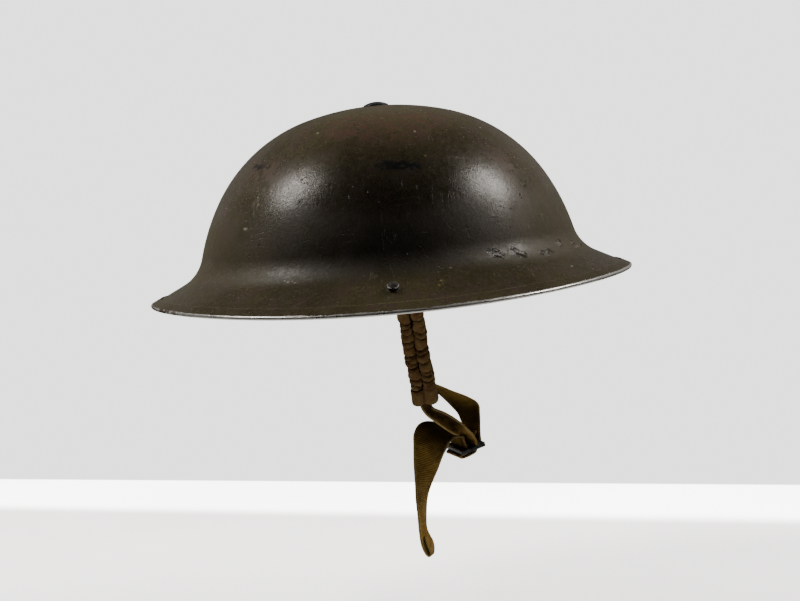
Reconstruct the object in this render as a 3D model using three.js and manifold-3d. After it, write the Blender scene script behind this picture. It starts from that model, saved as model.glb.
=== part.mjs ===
// A steel helmet with a round bowl and a broad brim, and its fastened chin strap. Millimetres.
// +X is the wearer's front, +Y the wearer's left and +Z up, with the rim's front and rear tips level.
// The sections below measure heights from the rim's tips. The last group moves the helmet down so
// that the origin is the inner end of the crown bolt, where a head under the crown takes the weight.

import * as THREE from "three";
import { mergeVertices } from "three/addons/utils/BufferGeometryUtils.js";
import Module from "manifold-3d";

const wasm = await Module();
wasm.setup();

// Shell
const CROWN_HEIGHT = 114;
const SHEET = 1.0;
const EDGE_REACH = 151;
const RIM_REACH = 152.3;
const RIM_HALF_WIDTH = 145;
const BOWL_WIDTH_RATIO = 0.908;
const FLARE_REACH = 117.5;
const SIDE_DROOP = 8;
const BRIM_BLEND = 1.5;
const AROUND = 64;
const BRIM_STEPS = 2;

// The fore-and-aft outline from the crown outwards, as arcs that meet without a corner. A positive
// turn bends the outline down, in degrees, and the negative one turns it out again into the brim.
const OUTLINE = [
  { part: "crown", radius: 164, turn: 15.5, steps: 3 },
  { part: "shoulder", radius: 100, turn: 44, steps: 6 },
  { part: "wall", radius: 135, turn: 16, steps: 2 },
  { part: "flare", radius: 25, turn: -49, steps: 5 },
];

// Rim strip, folded over the sheet's edge
const RIM_THICK = 0.9;
const RIM_LEG = 6;
const RIM_GAP = 0.35;

// The small gap between pieces that are fastened to each other
const FIT_GAP = 0.3;

// Crown bolt and nut
const BOLT_HEAD = { radius: 7.9, dome: 2.1, skirt: 0.5 };
const BOLT_SHANK = { radius: 3, length: 8.5 };
const BOLT_SLOT = { width: 1.3, depth: 0.9, turn: 35 };
const CROWN_HOLE_RADIUS = 3.6;
const NUT_RADIUS = 7;
const NUT_THICK = 3.2;
const NUT_SEAT_GAP = 0.5;
const NUT_CORNERS = 6;
const BOLT_SIDES = 24;

// Strap rivets
const RIVET_FORWARD = 1.2;
const RIVET_REACH = 134;
const RIVET_HEAD = { radius: 4.4, dome: 1.3, skirt: 0.3 };
const RIVET_SHANK_RADIUS = 2.2;
const RIVET_HOLE_RADIUS = 2.6;
const RIVET_TAIL_RADIUS = 3.6;
const RIVET_TAIL_THICK = 1.1;
const RIVET_SIDES = 16;
const DOME_RINGS = 4;

// Strap lugs: a plate under the brim, and a slotted plate that hangs from its inner edge
const LUG_PLATE = 1.6;
const LUG_TOP_GAP = 0.5;
const LUG_FORWARD = 2.5;
const LUG_SEAT_WIDTH = 18;
const LUG_OUTBOARD = 6;
const LUG_INBOARD = 9.1;
const LUG_SLOT = { width: 27, height: 6 };
const LUG_SHOULDER = 2.4;
const LUG_BAR = 3;
const LUG_SIDE = 3;
const LUG_SLOT_TOP = 4.5;

// Webbing loops between the lugs and the sleeves
const WEB_THICK = 1.3;
const TAB_WIDTH = 14;
const TAB_FORWARD = 7.6;
const TAB_LENGTH = 11.1;

// Spring sleeves, side by side. The foot is the middle of the right pair's lower end.
const SLEEVE_FOOT = new THREE.Vector3(14.5, -75, -67.8);
const SLEEVE_GAP = 1.1;
const SLEEVE_RADIUS = 3.6;
const SLEEVE_SPREAD = 3.8;
const SLEEVE_SIDES = 12;
const SLEEVE_FOLDS = 12;
const FOLD_DEPTH = 0.5;
const SLEEVE_HEM = 11;
const SLEEVE_MOUTH = 2.2;
const FOLD_CREST = 0.4;
const FOLD_VALLEY = 0.9;
const HEM_TOP = 0.7;
const HEM_TURN = 0.4;

// Slide buckle: three bars across the webbing. FORE points from its rear bar to its front bar,
// and ACROSS along the bars, away from the wearer's right.
const BUCKLE_CENTRE = new THREE.Vector3(37.7, -16, -103.4);
const BUCKLE_FORE = new THREE.Vector3(0.862, 0.342, 0.38).normalize();
const BUCKLE_UP = BUCKLE_FORE.clone().cross(new THREE.Vector3(-0.436, 0.876, 0.2)).normalize();
const BUCKLE_ACROSS = BUCKLE_UP.clone().cross(BUCKLE_FORE);
const BUCKLE_LENGTH = 17;
const BUCKLE_WIDTH = 25.4;
const BUCKLE_BAR = 2.2;
const BUCKLE_CORNER = 2;
const BUCKLE_THICK = 2.2;

// The webbing's stations in the buckle: along is from rear to front, above is out of its top face,
// side is along the bars, and half is half the webbing's width there.
const RIGHT_THROUGH_BUCKLE = [
  { along: 3.2, above: 6, side: -6, half: 3.6, thick: 2 },
  { along: 2.7, above: 1, side: -5.6, half: 4, thick: 1.8 },
  { along: 2.5, above: -1.6, side: -4.2, half: 5.3, thick: 1.4 },
  { along: 1.2, above: -3.2, side: -2, half: 7.5, thick: WEB_THICK },
  { along: -1.5, above: -3.7, side: -0.6, half: 9, thick: WEB_THICK },
  { along: -5.5, above: -3.8, side: 0, half: 9.5, thick: WEB_THICK },
  { along: -8.2, above: -3.6, side: 0, half: 9.5, thick: WEB_THICK },
  { along: -8.9, above: -2.9, side: 0, half: 9.5, thick: WEB_THICK },
  { along: -7.6, above: -2.2, side: 0, half: 9.5, thick: WEB_THICK },
  { along: -5.2, above: -2, side: 0, half: 9.5, thick: WEB_THICK },
  { along: -3.7, above: -0.7, side: 0, half: 9.5, thick: WEB_THICK },
  { along: -3.7, above: 1.8, side: 0, half: 9.5, thick: WEB_THICK },
  { along: -4.2, above: 6.5, side: 0, half: 9.5, thick: WEB_THICK },
];
const LEFT_ROUND_FRONT_BAR = [
  { along: 9.6, above: 3, side: 0, half: 9.5, thick: WEB_THICK },
  { along: 9.6, above: -0.8, side: 0, half: 9.5, thick: WEB_THICK },
  { along: 9.1, above: -2.3, side: 0, half: 9.5, thick: WEB_THICK },
  { along: 7.4, above: -2.9, side: 0, half: 9.5, thick: WEB_THICK },
  { along: 5.6, above: -2.3, side: 0, half: 9.5, thick: WEB_THICK },
  { along: 5.2, above: -0.6, side: 0, half: 9.5, thick: WEB_THICK },
  { along: 5.5, above: 3, side: 0, half: 9.5, thick: WEB_THICK },
  { along: 7.9, above: 7.4, side: 0, half: 9.5, thick: WEB_THICK },
];

// The webbing's two edges elsewhere. On the right it leaves the sleeves folded narrow, and past the
// buckle it opens out, turns over and hangs as the free end.
const RIGHT_ABOVE_BUCKLE = [
  { outer: [13.7, -67.5, -74.6], inner: [18.6, -68.5, -71.5], thick: 2.6 },
  { outer: [20.3, -55, -83], inner: [25, -56, -78.4], thick: 2.6 },
  { outer: [27.2, -43.5, -87.8], inner: [31, -45.5, -82.8], thick: 2.6 },
  { outer: [33.2, -33, -92.6], inner: [37.3, -35, -88.6], thick: 2.4 },
];
const FREE_END = [
  { outer: [24.5, -15, -89.5], inner: [35, -28, -96.8], thick: WEB_THICK },
  { outer: [19.5, -20.5, -86.8], inner: [31.2, -31, -95.6], thick: WEB_THICK },
  { outer: [13.8, -25.5, -85.4], inner: [28.6, -33, -96.8], thick: WEB_THICK },
  { outer: [9.3, -30, -86.5], inner: [25.8, -34, -98.5], thick: WEB_THICK },
  { outer: [6.2, -32.5, -91.5], inner: [24.4, -33.5, -101.8], thick: WEB_THICK },
  { outer: [5.4, -34, -98.5], inner: [22.8, -30.5, -105.8], thick: WEB_THICK },
  { outer: [4.7, -35.5, -109], inner: [18.9, -23.5, -115], thick: WEB_THICK },
  { outer: [4.4, -37.5, -120.5], inner: [14.4, -21, -124], thick: WEB_THICK },
  { outer: [4, -38.7, -131.1], inner: [10.9, -20.3, -132.5], thick: WEB_THICK },
  { outer: [4.3, -39, -141.8], inner: [9.2, -20, -142.3], thick: WEB_THICK },
  { outer: [4.4, -39, -152.6], inner: [8.6, -20, -152.9], thick: WEB_THICK },
  { outer: [5.2, -37.5, -161.3], inner: [11.3, -20.5, -161.4], thick: WEB_THICK },
  { outer: [7.6, -33.5, -167.7], inner: [11.6, -23.5, -167.9], thick: WEB_THICK },
];
const LEFT_UNDER_CHIN = [
  { outer: [18.5, 57, -71.5], inner: [30.5, 61, -76], thick: WEB_THICK },
  { outer: [26, 33, -76.5], inner: [43, 40, -80], thick: WEB_THICK },
  { outer: [31.5, 17.5, -81.5], inner: [48.5, 9.5, -81.5], thick: WEB_THICK },
  { outer: [35.5, 3.5, -86], inner: [49, -9.5, -85.5], thick: WEB_THICK },
  { outer: [38, -3.5, -92], inner: [48.4, -17.5, -94], thick: WEB_THICK },
];
const FOLDED = { half: 3.2, thick: 2.4, from: 0.6, to: 3.6 };
const STEPS_PER_ROW = 3;

const paint = new THREE.MeshStandardMaterial({ color: 0x4a4334, roughness: 0.55, metalness: 0.1 });
const blackened = new THREE.MeshStandardMaterial({ color: 0x22242a, roughness: 0.45, metalness: 0.7 });
const wornSteel = new THREE.MeshStandardMaterial({ color: 0x6b6558, roughness: 0.4, metalness: 0.8 });
const canvasCloth = new THREE.MeshStandardMaterial({ color: 0x4b3a22, roughness: 0.95, metalness: 0 });
const webbing = new THREE.MeshStandardMaterial({ color: 0x59452a, roughness: 0.92, metalness: 0 });

function piece(name, geometry, material) {
  const mesh = new THREE.Mesh(geometry, material);
  mesh.name = name;
  return mesh;
}

// Booleans

function toSolid(geometry) {
  const bare = geometry.clone();
  bare.deleteAttribute("normal");
  bare.deleteAttribute("uv");
  const merged = mergeVertices(bare);
  return new wasm.Manifold(
    new wasm.Mesh({
      numProp: 3,
      vertProperties: new Float32Array(merged.attributes.position.array),
      triVerts: new Uint32Array(merged.index.array),
    }),
  );
}

function toGeometry(solid) {
  const mesh = solid.getMesh();
  const geometry = new THREE.BufferGeometry();
  geometry.setAttribute("position", new THREE.BufferAttribute(new Float32Array(mesh.vertProperties), 3));
  geometry.setIndex(new THREE.BufferAttribute(new Uint32Array(mesh.triVerts), 1));
  return geometry;
}

// Shell form

function brimShare(reach) {
  return THREE.MathUtils.clamp((reach - FLARE_REACH) / (RIM_REACH - FLARE_REACH), 0, 1) ** BRIM_BLEND;
}

function sideReach(reach) {
  const spread = RIM_HALF_WIDTH - RIM_REACH * BOWL_WIDTH_RATIO;
  return reach * BOWL_WIDTH_RATIO + spread * brimShare(reach);
}

// Turns a round form into the helmet's oval one, and lowers the brim's sides.
function makeOval(geometry) {
  const position = geometry.attributes.position;
  for (let i = 0; i < position.count; i += 1) {
    const reach = Math.hypot(position.getX(i), position.getY(i));
    const angle = Math.atan2(position.getY(i), position.getX(i));
    const drop = SIDE_DROOP * brimShare(reach) * Math.sin(angle) ** 2;
    position.setXYZ(
      i,
      reach * Math.cos(angle),
      sideReach(reach) * Math.sin(angle),
      position.getZ(i) - drop,
    );
  }
  return geometry;
}

// Points of the outer face from the crown to the sheet's edge, each with its downward slope.
function outlineStations() {
  const stations = [{ reach: 0, height: CROWN_HEIGHT, slope: 0 }];
  for (const arc of OUTLINE) {
    const turn = THREE.MathUtils.degToRad(arc.turn) / arc.steps;
    const chord = 2 * arc.radius * Math.abs(Math.sin(turn / 2));
    for (let step = 0; step < arc.steps; step += 1) {
      const last = stations.at(-1);
      const heading = last.slope + turn / 2;
      stations.push({
        reach: last.reach + chord * Math.cos(heading),
        height: last.height - chord * Math.sin(heading),
        slope: last.slope + turn,
      });
    }
  }
  const foot = stations.at(-1);
  for (let step = 1; step <= BRIM_STEPS; step += 1) {
    const out = ((EDGE_REACH - foot.reach) * step) / BRIM_STEPS;
    stations.push({
      reach: foot.reach + out,
      height: foot.height - out * Math.tan(foot.slope),
      slope: foot.slope,
    });
  }
  return stations;
}

function roundBar(radius, length) {
  const geometry = new THREE.CylinderGeometry(radius, radius, length, RIVET_SIDES);
  geometry.rotateX(Math.PI / 2);
  return geometry;
}

function latheAroundZ(points, sides) {
  const geometry = new THREE.LatheGeometry(points, sides);
  geometry.rotateX(Math.PI / 2);
  return geometry;
}

const stations = outlineStations();
const edge = stations.at(-1);
const brimFoot = stations.at(-1 - BRIM_STEPS);

function roundShell() {
  const outer = stations.slice(1).map((at) => new THREE.Vector2(at.reach, at.height));
  const inner = stations.slice(1).map((at) => {
    const inwards = new THREE.Vector2(Math.sin(at.slope), Math.cos(at.slope)).multiplyScalar(SHEET);
    return new THREE.Vector2(at.reach, at.height).sub(inwards);
  });
  const holeTop = new THREE.Vector2(CROWN_HOLE_RADIUS, CROWN_HEIGHT);
  const holeBottom = new THREE.Vector2(CROWN_HOLE_RADIUS, CROWN_HEIGHT - SHEET);
  const section = [holeBottom, ...inner, ...outer.reverse(), holeTop, holeBottom];
  return latheAroundZ(section, AROUND);
}

// Where a rivet's axis crosses the brim's outer face, and the brim's slope there.
function brimSeat() {
  const height = (reach) => {
    const level = brimFoot.height - (reach - brimFoot.reach) * Math.tan(brimFoot.slope);
    return level - SIDE_DROOP * brimShare(reach);
  };
  const nudge = 2;
  const rise = height(RIVET_REACH - nudge) - height(RIVET_REACH + nudge);
  const run = sideReach(RIVET_REACH + nudge) - sideReach(RIVET_REACH - nudge);
  return { aside: sideReach(RIVET_REACH), height: height(RIVET_REACH), slope: Math.atan2(rise, run) };
}

const seat = brimSeat();

// A frame on the brim at a rivet: local z out of the brim, and local y towards the bowl.
function rivetFrame(side) {
  const frame = new THREE.Group();
  frame.position.set(RIVET_FORWARD, side * seat.aside, seat.height);
  frame.rotation.set(-side * seat.slope, 0, side > 0 ? Math.PI : 0);
  return frame;
}

function shellGeometry() {
  let solid = toSolid(makeOval(roundShell()));
  for (const side of [-1, 1]) {
    const drill = roundBar(RIVET_HOLE_RADIUS, 10 * SHEET);
    const frame = rivetFrame(side);
    frame.updateMatrix();
    drill.applyMatrix4(frame.matrix);
    solid = solid.subtract(toSolid(drill));
  }
  return toGeometry(solid);
}

// Rim strip: a hooked section round the sheet's edge, laid out along and square to the brim.
function rimGeometry() {
  const along = new THREE.Vector2(Math.cos(edge.slope), -Math.sin(edge.slope));
  const square = new THREE.Vector2(Math.sin(edge.slope), Math.cos(edge.slope));
  const at = (out, up) =>
    new THREE.Vector2(edge.reach, edge.height).addScaledVector(along, out).addScaledVector(square, up);
  const nose = RIM_GAP + RIM_THICK;
  const top = RIM_GAP;
  const bottom = -SHEET - RIM_GAP;
  const section = [
    at(-RIM_LEG, top),
    at(RIM_GAP, top),
    at(RIM_GAP, bottom),
    at(-RIM_LEG, bottom),
    at(-RIM_LEG, bottom - RIM_THICK),
    at(RIM_GAP, bottom - RIM_THICK),
    at(nose, bottom),
    at(nose, top),
    at(RIM_GAP, top + RIM_THICK),
    at(-RIM_LEG, top + RIM_THICK),
    at(-RIM_LEG, top),
  ];
  return makeOval(latheAroundZ(section, AROUND));
}

// Fasteners

function domedPin(head, shank, sides) {
  const points = [new THREE.Vector2(0, -shank.length), new THREE.Vector2(shank.radius, -shank.length)];
  points.push(new THREE.Vector2(shank.radius, 0), new THREE.Vector2(head.radius, 0));
  for (let ring = 0; ring < DOME_RINGS; ring += 1) {
    const angle = (ring / DOME_RINGS) * (Math.PI / 2);
    points.push(new THREE.Vector2(head.radius * Math.cos(angle), head.skirt + head.dome * Math.sin(angle)));
  }
  points.push(new THREE.Vector2(0, head.skirt + head.dome));
  return latheAroundZ(points, sides);
}

function crownBolt() {
  const pin = domedPin(BOLT_HEAD, BOLT_SHANK, BOLT_SIDES);
  const cut = new THREE.BoxGeometry(BOLT_SLOT.width, 3 * BOLT_HEAD.radius, 2 * BOLT_SLOT.depth);
  cut.translate(0, 0, BOLT_HEAD.skirt + BOLT_HEAD.dome);
  cut.rotateZ(THREE.MathUtils.degToRad(BOLT_SLOT.turn));
  const bolt = piece("crown_bolt", toGeometry(toSolid(pin).subtract(toSolid(cut))), blackened);
  bolt.position.z = CROWN_HEIGHT + FIT_GAP;
  return bolt;
}

function crownNut() {
  const outline = new THREE.Shape();
  for (let corner = 0; corner < NUT_CORNERS; corner += 1) {
    const angle = (corner / NUT_CORNERS) * 2 * Math.PI;
    const x = NUT_RADIUS * Math.cos(angle);
    const y = NUT_RADIUS * Math.sin(angle);
    if (corner === 0) outline.moveTo(x, y);
    else outline.lineTo(x, y);
  }
  outline.closePath();
  const bore = new THREE.Path();
  bore.absarc(0, 0, BOLT_SHANK.radius + FIT_GAP, 0, 2 * Math.PI, true);
  outline.holes.push(bore);
  const geometry = new THREE.ExtrudeGeometry(outline, {
    depth: NUT_THICK,
    bevelEnabled: false,
    curveSegments: BOLT_SIDES / 2,
  });
  const nut = piece("crown_nut", geometry, wornSteel);
  nut.position.z = CROWN_HEIGHT - SHEET - NUT_SEAT_GAP - NUT_THICK;
  return nut;
}

function strapRivet(name) {
  const lugBottom = SHEET + LUG_TOP_GAP + LUG_PLATE;
  const tail = lugBottom + FIT_GAP;
  const shank = { radius: RIVET_SHANK_RADIUS, length: tail + FIT_GAP };
  const pin = domedPin(RIVET_HEAD, shank, RIVET_SIDES);
  const clench = roundBar(RIVET_TAIL_RADIUS, RIVET_TAIL_THICK);
  clench.translate(0, 0, -tail - FIT_GAP - RIVET_TAIL_THICK / 2);
  const rivet = piece(name, toGeometry(toSolid(pin).add(toSolid(clench))), paint);
  rivet.position.z = FIT_GAP;
  return rivet;
}

// Lug, in the rivet's frame. Forward is the sign of local x that points to the helmet's front.

function slottedPlate(forward) {
  const half = LUG_SLOT.width / 2 + LUG_SIDE;
  const bottom = LUG_SLOT_TOP + LUG_SLOT.height + LUG_BAR;
  const middle = forward * LUG_FORWARD;
  const outline = new THREE.Shape();
  outline.moveTo(middle - half, -LUG_SHOULDER);
  outline.lineTo(middle + half, -LUG_SHOULDER);
  outline.lineTo(middle + half, -bottom);
  outline.lineTo(middle - half, -bottom);
  outline.closePath();
  const slot = new THREE.Path();
  slot.moveTo(middle - LUG_SLOT.width / 2, -LUG_SLOT_TOP);
  slot.lineTo(middle - LUG_SLOT.width / 2, -LUG_SLOT_TOP - LUG_SLOT.height);
  slot.lineTo(middle + LUG_SLOT.width / 2, -LUG_SLOT_TOP - LUG_SLOT.height);
  slot.lineTo(middle + LUG_SLOT.width / 2, -LUG_SLOT_TOP);
  slot.closePath();
  outline.holes.push(slot);
  const geometry = new THREE.ExtrudeGeometry(outline, { depth: LUG_PLATE, bevelEnabled: false });
  geometry.rotateX(Math.PI / 2);
  geometry.translate(0, LUG_INBOARD, 0);
  return geometry;
}

function strapLug(name, forward) {
  const length = LUG_OUTBOARD + LUG_INBOARD;
  const plate = new THREE.BoxGeometry(LUG_SEAT_WIDTH, length, LUG_PLATE);
  plate.translate(0, LUG_INBOARD - length / 2, -SHEET - LUG_TOP_GAP - LUG_PLATE / 2);
  const drill = roundBar(RIVET_HOLE_RADIUS, 4 * LUG_PLATE);
  drill.translate(0, 0, -SHEET - LUG_TOP_GAP - LUG_PLATE / 2);
  const solid = toSolid(plate).subtract(toSolid(drill)).add(toSolid(slottedPlate(forward)));
  return piece(name, toGeometry(solid), wornSteel);
}

// The webbing loop round the lug's bar, sewn shut below it. Its outline lies across the bar.
const barTop = -LUG_SLOT_TOP - LUG_SLOT.height;
const barMiddle = LUG_INBOARD - LUG_PLATE / 2;
const tabTop = barTop + FIT_GAP + WEB_THICK;

function topTab(name, forward) {
  const halfHole = LUG_PLATE / 2 + FIT_GAP;
  const half = halfHole + WEB_THICK;
  const outline = new THREE.Shape();
  outline.moveTo(barMiddle - half, tabTop - TAB_LENGTH);
  outline.lineTo(barMiddle + half, tabTop - TAB_LENGTH);
  outline.lineTo(barMiddle + half, tabTop - WEB_THICK);
  outline.lineTo(barMiddle + halfHole, tabTop);
  outline.lineTo(barMiddle - halfHole, tabTop);
  outline.lineTo(barMiddle - half, tabTop - WEB_THICK);
  outline.closePath();
  const hole = new THREE.Path();
  hole.moveTo(barMiddle - halfHole, barTop + FIT_GAP);
  hole.lineTo(barMiddle + halfHole, barTop + FIT_GAP);
  hole.lineTo(barMiddle + halfHole, barTop - LUG_BAR - FIT_GAP);
  hole.lineTo(barMiddle - halfHole, barTop - LUG_BAR - FIT_GAP);
  hole.closePath();
  outline.holes.push(hole);
  const geometry = new THREE.ExtrudeGeometry(outline, { depth: TAB_WIDTH, bevelEnabled: false });
  geometry.rotateX(Math.PI / 2);
  geometry.rotateZ(Math.PI / 2);
  const tab = piece(name, geometry, webbing);
  tab.position.x = forward * TAB_FORWARD - TAB_WIDTH / 2;
  return tab;
}

// Spring sleeves

function sleeveGeometry(length) {
  const pitch = (length - SLEEVE_HEM) / SLEEVE_FOLDS;
  const points = [new THREE.Vector2(0, 0), new THREE.Vector2(SLEEVE_RADIUS - FOLD_DEPTH, 0)];
  for (let fold = 0; fold < SLEEVE_FOLDS; fold += 1) {
    points.push(new THREE.Vector2(SLEEVE_RADIUS, (fold + FOLD_CREST) * pitch));
    points.push(new THREE.Vector2(SLEEVE_RADIUS - FOLD_DEPTH, (fold + FOLD_VALLEY) * pitch));
  }
  points.push(new THREE.Vector2(SLEEVE_RADIUS, length - HEM_TOP * SLEEVE_HEM));
  points.push(new THREE.Vector2(SLEEVE_RADIUS, length - HEM_TURN * SLEEVE_HEM));
  points.push(new THREE.Vector2(SLEEVE_MOUTH, length));
  points.push(new THREE.Vector2(0, length));
  return new THREE.LatheGeometry(points, SLEEVE_SIDES);
}

// The pair's straight line from the loop above it to its foot.
function sleeveLine(side) {
  const frame = rivetFrame(side);
  frame.updateMatrix();
  const start = new THREE.Vector3(-side * TAB_FORWARD, barMiddle, tabTop - TAB_LENGTH);
  start.applyMatrix4(frame.matrix);
  const foot = new THREE.Vector3(SLEEVE_FOOT.x, -side * SLEEVE_FOOT.y, SLEEVE_FOOT.z);
  const down = foot.clone().sub(start).normalize();
  return { top: start.addScaledVector(down, SLEEVE_GAP), foot, down };
}

function sleeves(side, sideName) {
  const { top, foot, down } = sleeveLine(side);
  const abreast = new THREE.Vector3(1, 0, 0).addScaledVector(down, -down.x).normalize();
  const group = new THREE.Group();
  for (const [place, sign] of [["front", 1], ["rear", -1]]) {
    const name = `spring_sleeve_${sideName}_${place}`;
    const sleeve = piece(name, sleeveGeometry(top.distanceTo(foot)), canvasCloth);
    sleeve.position.copy(top).addScaledVector(abreast, sign * SLEEVE_SPREAD);
    sleeve.quaternion.setFromUnitVectors(new THREE.Vector3(0, 1, 0), down);
    group.add(sleeve);
  }
  return group;
}

// Webbing: a flat band between two edge curves, with square ends.

function ribbon(rows) {
  const outer = new THREE.CatmullRomCurve3(rows.map((row) => new THREE.Vector3(...row.outer)));
  const inner = new THREE.CatmullRomCurve3(rows.map((row) => new THREE.Vector3(...row.inner)));
  const thick = new THREE.CatmullRomCurve3(rows.map((row) => new THREE.Vector3(row.thick, 0, 0)));
  const steps = (rows.length - 1) * STEPS_PER_ROW;
  const vertices = [];
  for (let step = 0; step <= steps; step += 1) {
    const share = step / steps;
    const [a, b] = [outer.getPoint(share), inner.getPoint(share)];
    const heading = outer.getTangent(share).add(inner.getTangent(share));
    const lift = heading.cross(b.clone().sub(a)).normalize().multiplyScalar(thick.getPoint(share).x / 2);
    vertices.push(a.clone().add(lift), b.clone().add(lift), b.clone().sub(lift), a.clone().sub(lift));
  }
  const index = [];
  for (let step = 0; step < steps; step += 1) {
    for (let corner = 0; corner < 4; corner += 1) {
      const [here, next] = [4 * step + corner, 4 * step + ((corner + 1) % 4)];
      index.push(here, here + 4, next, next, here + 4, next + 4);
    }
  }
  const end = 4 * steps;
  index.push(0, 1, 2, 0, 2, 3, end, end + 2, end + 1, end, end + 3, end + 2);
  const geometry = new THREE.BufferGeometry().setFromPoints(vertices);
  geometry.setIndex(index);
  return geometry;
}

function buckleRow(row) {
  const middle = BUCKLE_CENTRE.clone()
    .addScaledVector(BUCKLE_FORE, row.along)
    .addScaledVector(BUCKLE_UP, row.above)
    .addScaledVector(BUCKLE_ACROSS, row.side);
  return {
    outer: middle.clone().addScaledVector(BUCKLE_ACROSS, row.half).toArray(),
    inner: middle.clone().addScaledVector(BUCKLE_ACROSS, -row.half).toArray(),
    thick: row.thick,
  };
}

// The folded end that comes straight out of the two sleeves of one side.
function footRows(side) {
  const { foot, down } = sleeveLine(side);
  return [FOLDED.from, FOLDED.to].map((distance) => {
    const middle = foot.clone().addScaledVector(down, distance);
    return {
      outer: [middle.x - FOLDED.half, middle.y, middle.z],
      inner: [middle.x + FOLDED.half, middle.y, middle.z],
      thick: FOLDED.thick,
    };
  });
}

function roundedRectangle(halfX, halfY, corner, stepsPerCorner) {
  const points = [];
  for (const [signX, signY, start] of [[1, 1, 0], [-1, 1, 1], [-1, -1, 2], [1, -1, 3]]) {
    for (let step = 0; step <= stepsPerCorner; step += 1) {
      const angle = (start + step / stepsPerCorner) * (Math.PI / 2);
      const x = signX * (halfX - corner) + corner * Math.cos(angle);
      const y = signY * (halfY - corner) + corner * Math.sin(angle);
      points.push(new THREE.Vector2(x, y));
    }
  }
  return points;
}

function buckleGeometry() {
  const outline = new THREE.Shape(
    roundedRectangle(BUCKLE_LENGTH / 2, BUCKLE_WIDTH / 2, BUCKLE_CORNER, 3),
  );
  const slotHalf = (BUCKLE_LENGTH - 3 * BUCKLE_BAR) / 4;
  const slotMiddle = BUCKLE_BAR / 2 + slotHalf;
  for (const sign of [-1, 1]) {
    const corners = roundedRectangle(slotHalf, BUCKLE_WIDTH / 2 - BUCKLE_BAR, BUCKLE_CORNER / 4, 1);
    const slot = corners.map((point) => new THREE.Vector2(point.x + sign * slotMiddle, point.y));
    outline.holes.push(new THREE.Path(slot.reverse()));
  }
  const geometry = new THREE.ExtrudeGeometry(outline, { depth: BUCKLE_THICK, bevelEnabled: false });
  geometry.translate(0, 0, -BUCKLE_THICK / 2);
  return geometry;
}

function buckle() {
  const frame = new THREE.Matrix4().makeBasis(BUCKLE_FORE, BUCKLE_ACROSS, BUCKLE_UP);
  const mesh = piece("chin_buckle", buckleGeometry(), blackened);
  mesh.position.copy(BUCKLE_CENTRE);
  mesh.quaternion.setFromRotationMatrix(frame);
  return mesh;
}

const rightWeb = [
  ...footRows(-1),
  ...RIGHT_ABOVE_BUCKLE,
  ...RIGHT_THROUGH_BUCKLE.map(buckleRow),
  ...FREE_END,
];
const leftWeb = [...footRows(1), ...LEFT_UNDER_CHIN, ...LEFT_ROUND_FRONT_BAR.map(buckleRow)];

// Assembly

const helmet = new THREE.Group();
helmet.position.z = -(CROWN_HEIGHT + FIT_GAP - BOLT_SHANK.length);
helmet.add(piece("shell", shellGeometry(), paint));
helmet.add(piece("rim_strip", rimGeometry(), wornSteel));
helmet.add(crownBolt(), crownNut());
for (const [side, sideName] of [[-1, "right"], [1, "left"]]) {
  const frame = rivetFrame(side);
  frame.add(strapRivet(`strap_rivet_${sideName}`));
  frame.add(strapLug(`strap_lug_${sideName}`, -side));
  frame.add(topTab(`top_tab_${sideName}`, -side));
  helmet.add(frame, sleeves(side, sideName));
}
helmet.add(buckle());
helmet.add(piece("chin_web_right", ribbon(rightWeb), webbing));
helmet.add(piece("chin_web_left", ribbon(leftWeb), webbing));

const part = new THREE.Group();
part.add(helmet);

export default part;
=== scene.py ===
import math
import random

import bmesh
import bpy
import numpy as np
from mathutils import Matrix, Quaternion, Vector


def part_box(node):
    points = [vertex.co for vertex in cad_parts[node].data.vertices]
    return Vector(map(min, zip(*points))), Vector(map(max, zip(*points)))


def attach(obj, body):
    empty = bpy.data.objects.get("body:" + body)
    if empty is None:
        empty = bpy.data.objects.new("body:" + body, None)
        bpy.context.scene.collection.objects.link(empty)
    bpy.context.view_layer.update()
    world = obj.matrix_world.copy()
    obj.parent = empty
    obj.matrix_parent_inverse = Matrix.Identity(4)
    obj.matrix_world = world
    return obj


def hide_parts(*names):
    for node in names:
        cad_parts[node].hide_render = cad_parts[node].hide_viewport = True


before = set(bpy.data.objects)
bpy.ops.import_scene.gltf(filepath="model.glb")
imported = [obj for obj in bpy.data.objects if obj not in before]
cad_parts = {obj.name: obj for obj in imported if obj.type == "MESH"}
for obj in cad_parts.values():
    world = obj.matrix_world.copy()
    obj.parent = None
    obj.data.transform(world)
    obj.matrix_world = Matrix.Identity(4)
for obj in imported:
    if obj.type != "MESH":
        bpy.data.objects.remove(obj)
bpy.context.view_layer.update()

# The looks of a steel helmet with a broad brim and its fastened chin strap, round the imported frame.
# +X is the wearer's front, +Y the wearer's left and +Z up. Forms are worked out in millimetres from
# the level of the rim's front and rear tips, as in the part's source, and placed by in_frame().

MM = 0.001
SHARP_ANGLE = math.radians(35)

# Shell and rim as in the part, but that the sides' droop starts a little further in
CROWN_HEIGHT = 114
SHEET = 1.0
EDGE_REACH = 151
RIM_REACH = 152.3
RIM_HALF_WIDTH = 145
BOWL_WIDTH_RATIO = 0.908
FLARE_REACH = 114
SIDE_DROOP = 8
BRIM_BLEND = 1.2
CROWN_HOLE_RADIUS = 3.6
OUTLINE = [(164, 15.5, 14), (100, 44, 30), (135, 16, 12), (25, -49, 22)]  # radius, degrees, steps
BRIM_STEPS = 14
RIM_THICK = 0.75
RIM_LEG = 6.2
RIM_SLACK = 0.12
RIM_NOSE = 1.2
RIM_TOP_POINTS = (-5.7, -5.1, -3.4, -1.7, -0.9, -0.4)
AROUND = 288
SHELL_ROUND = 900
RIM_ROUND = 950

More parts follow.
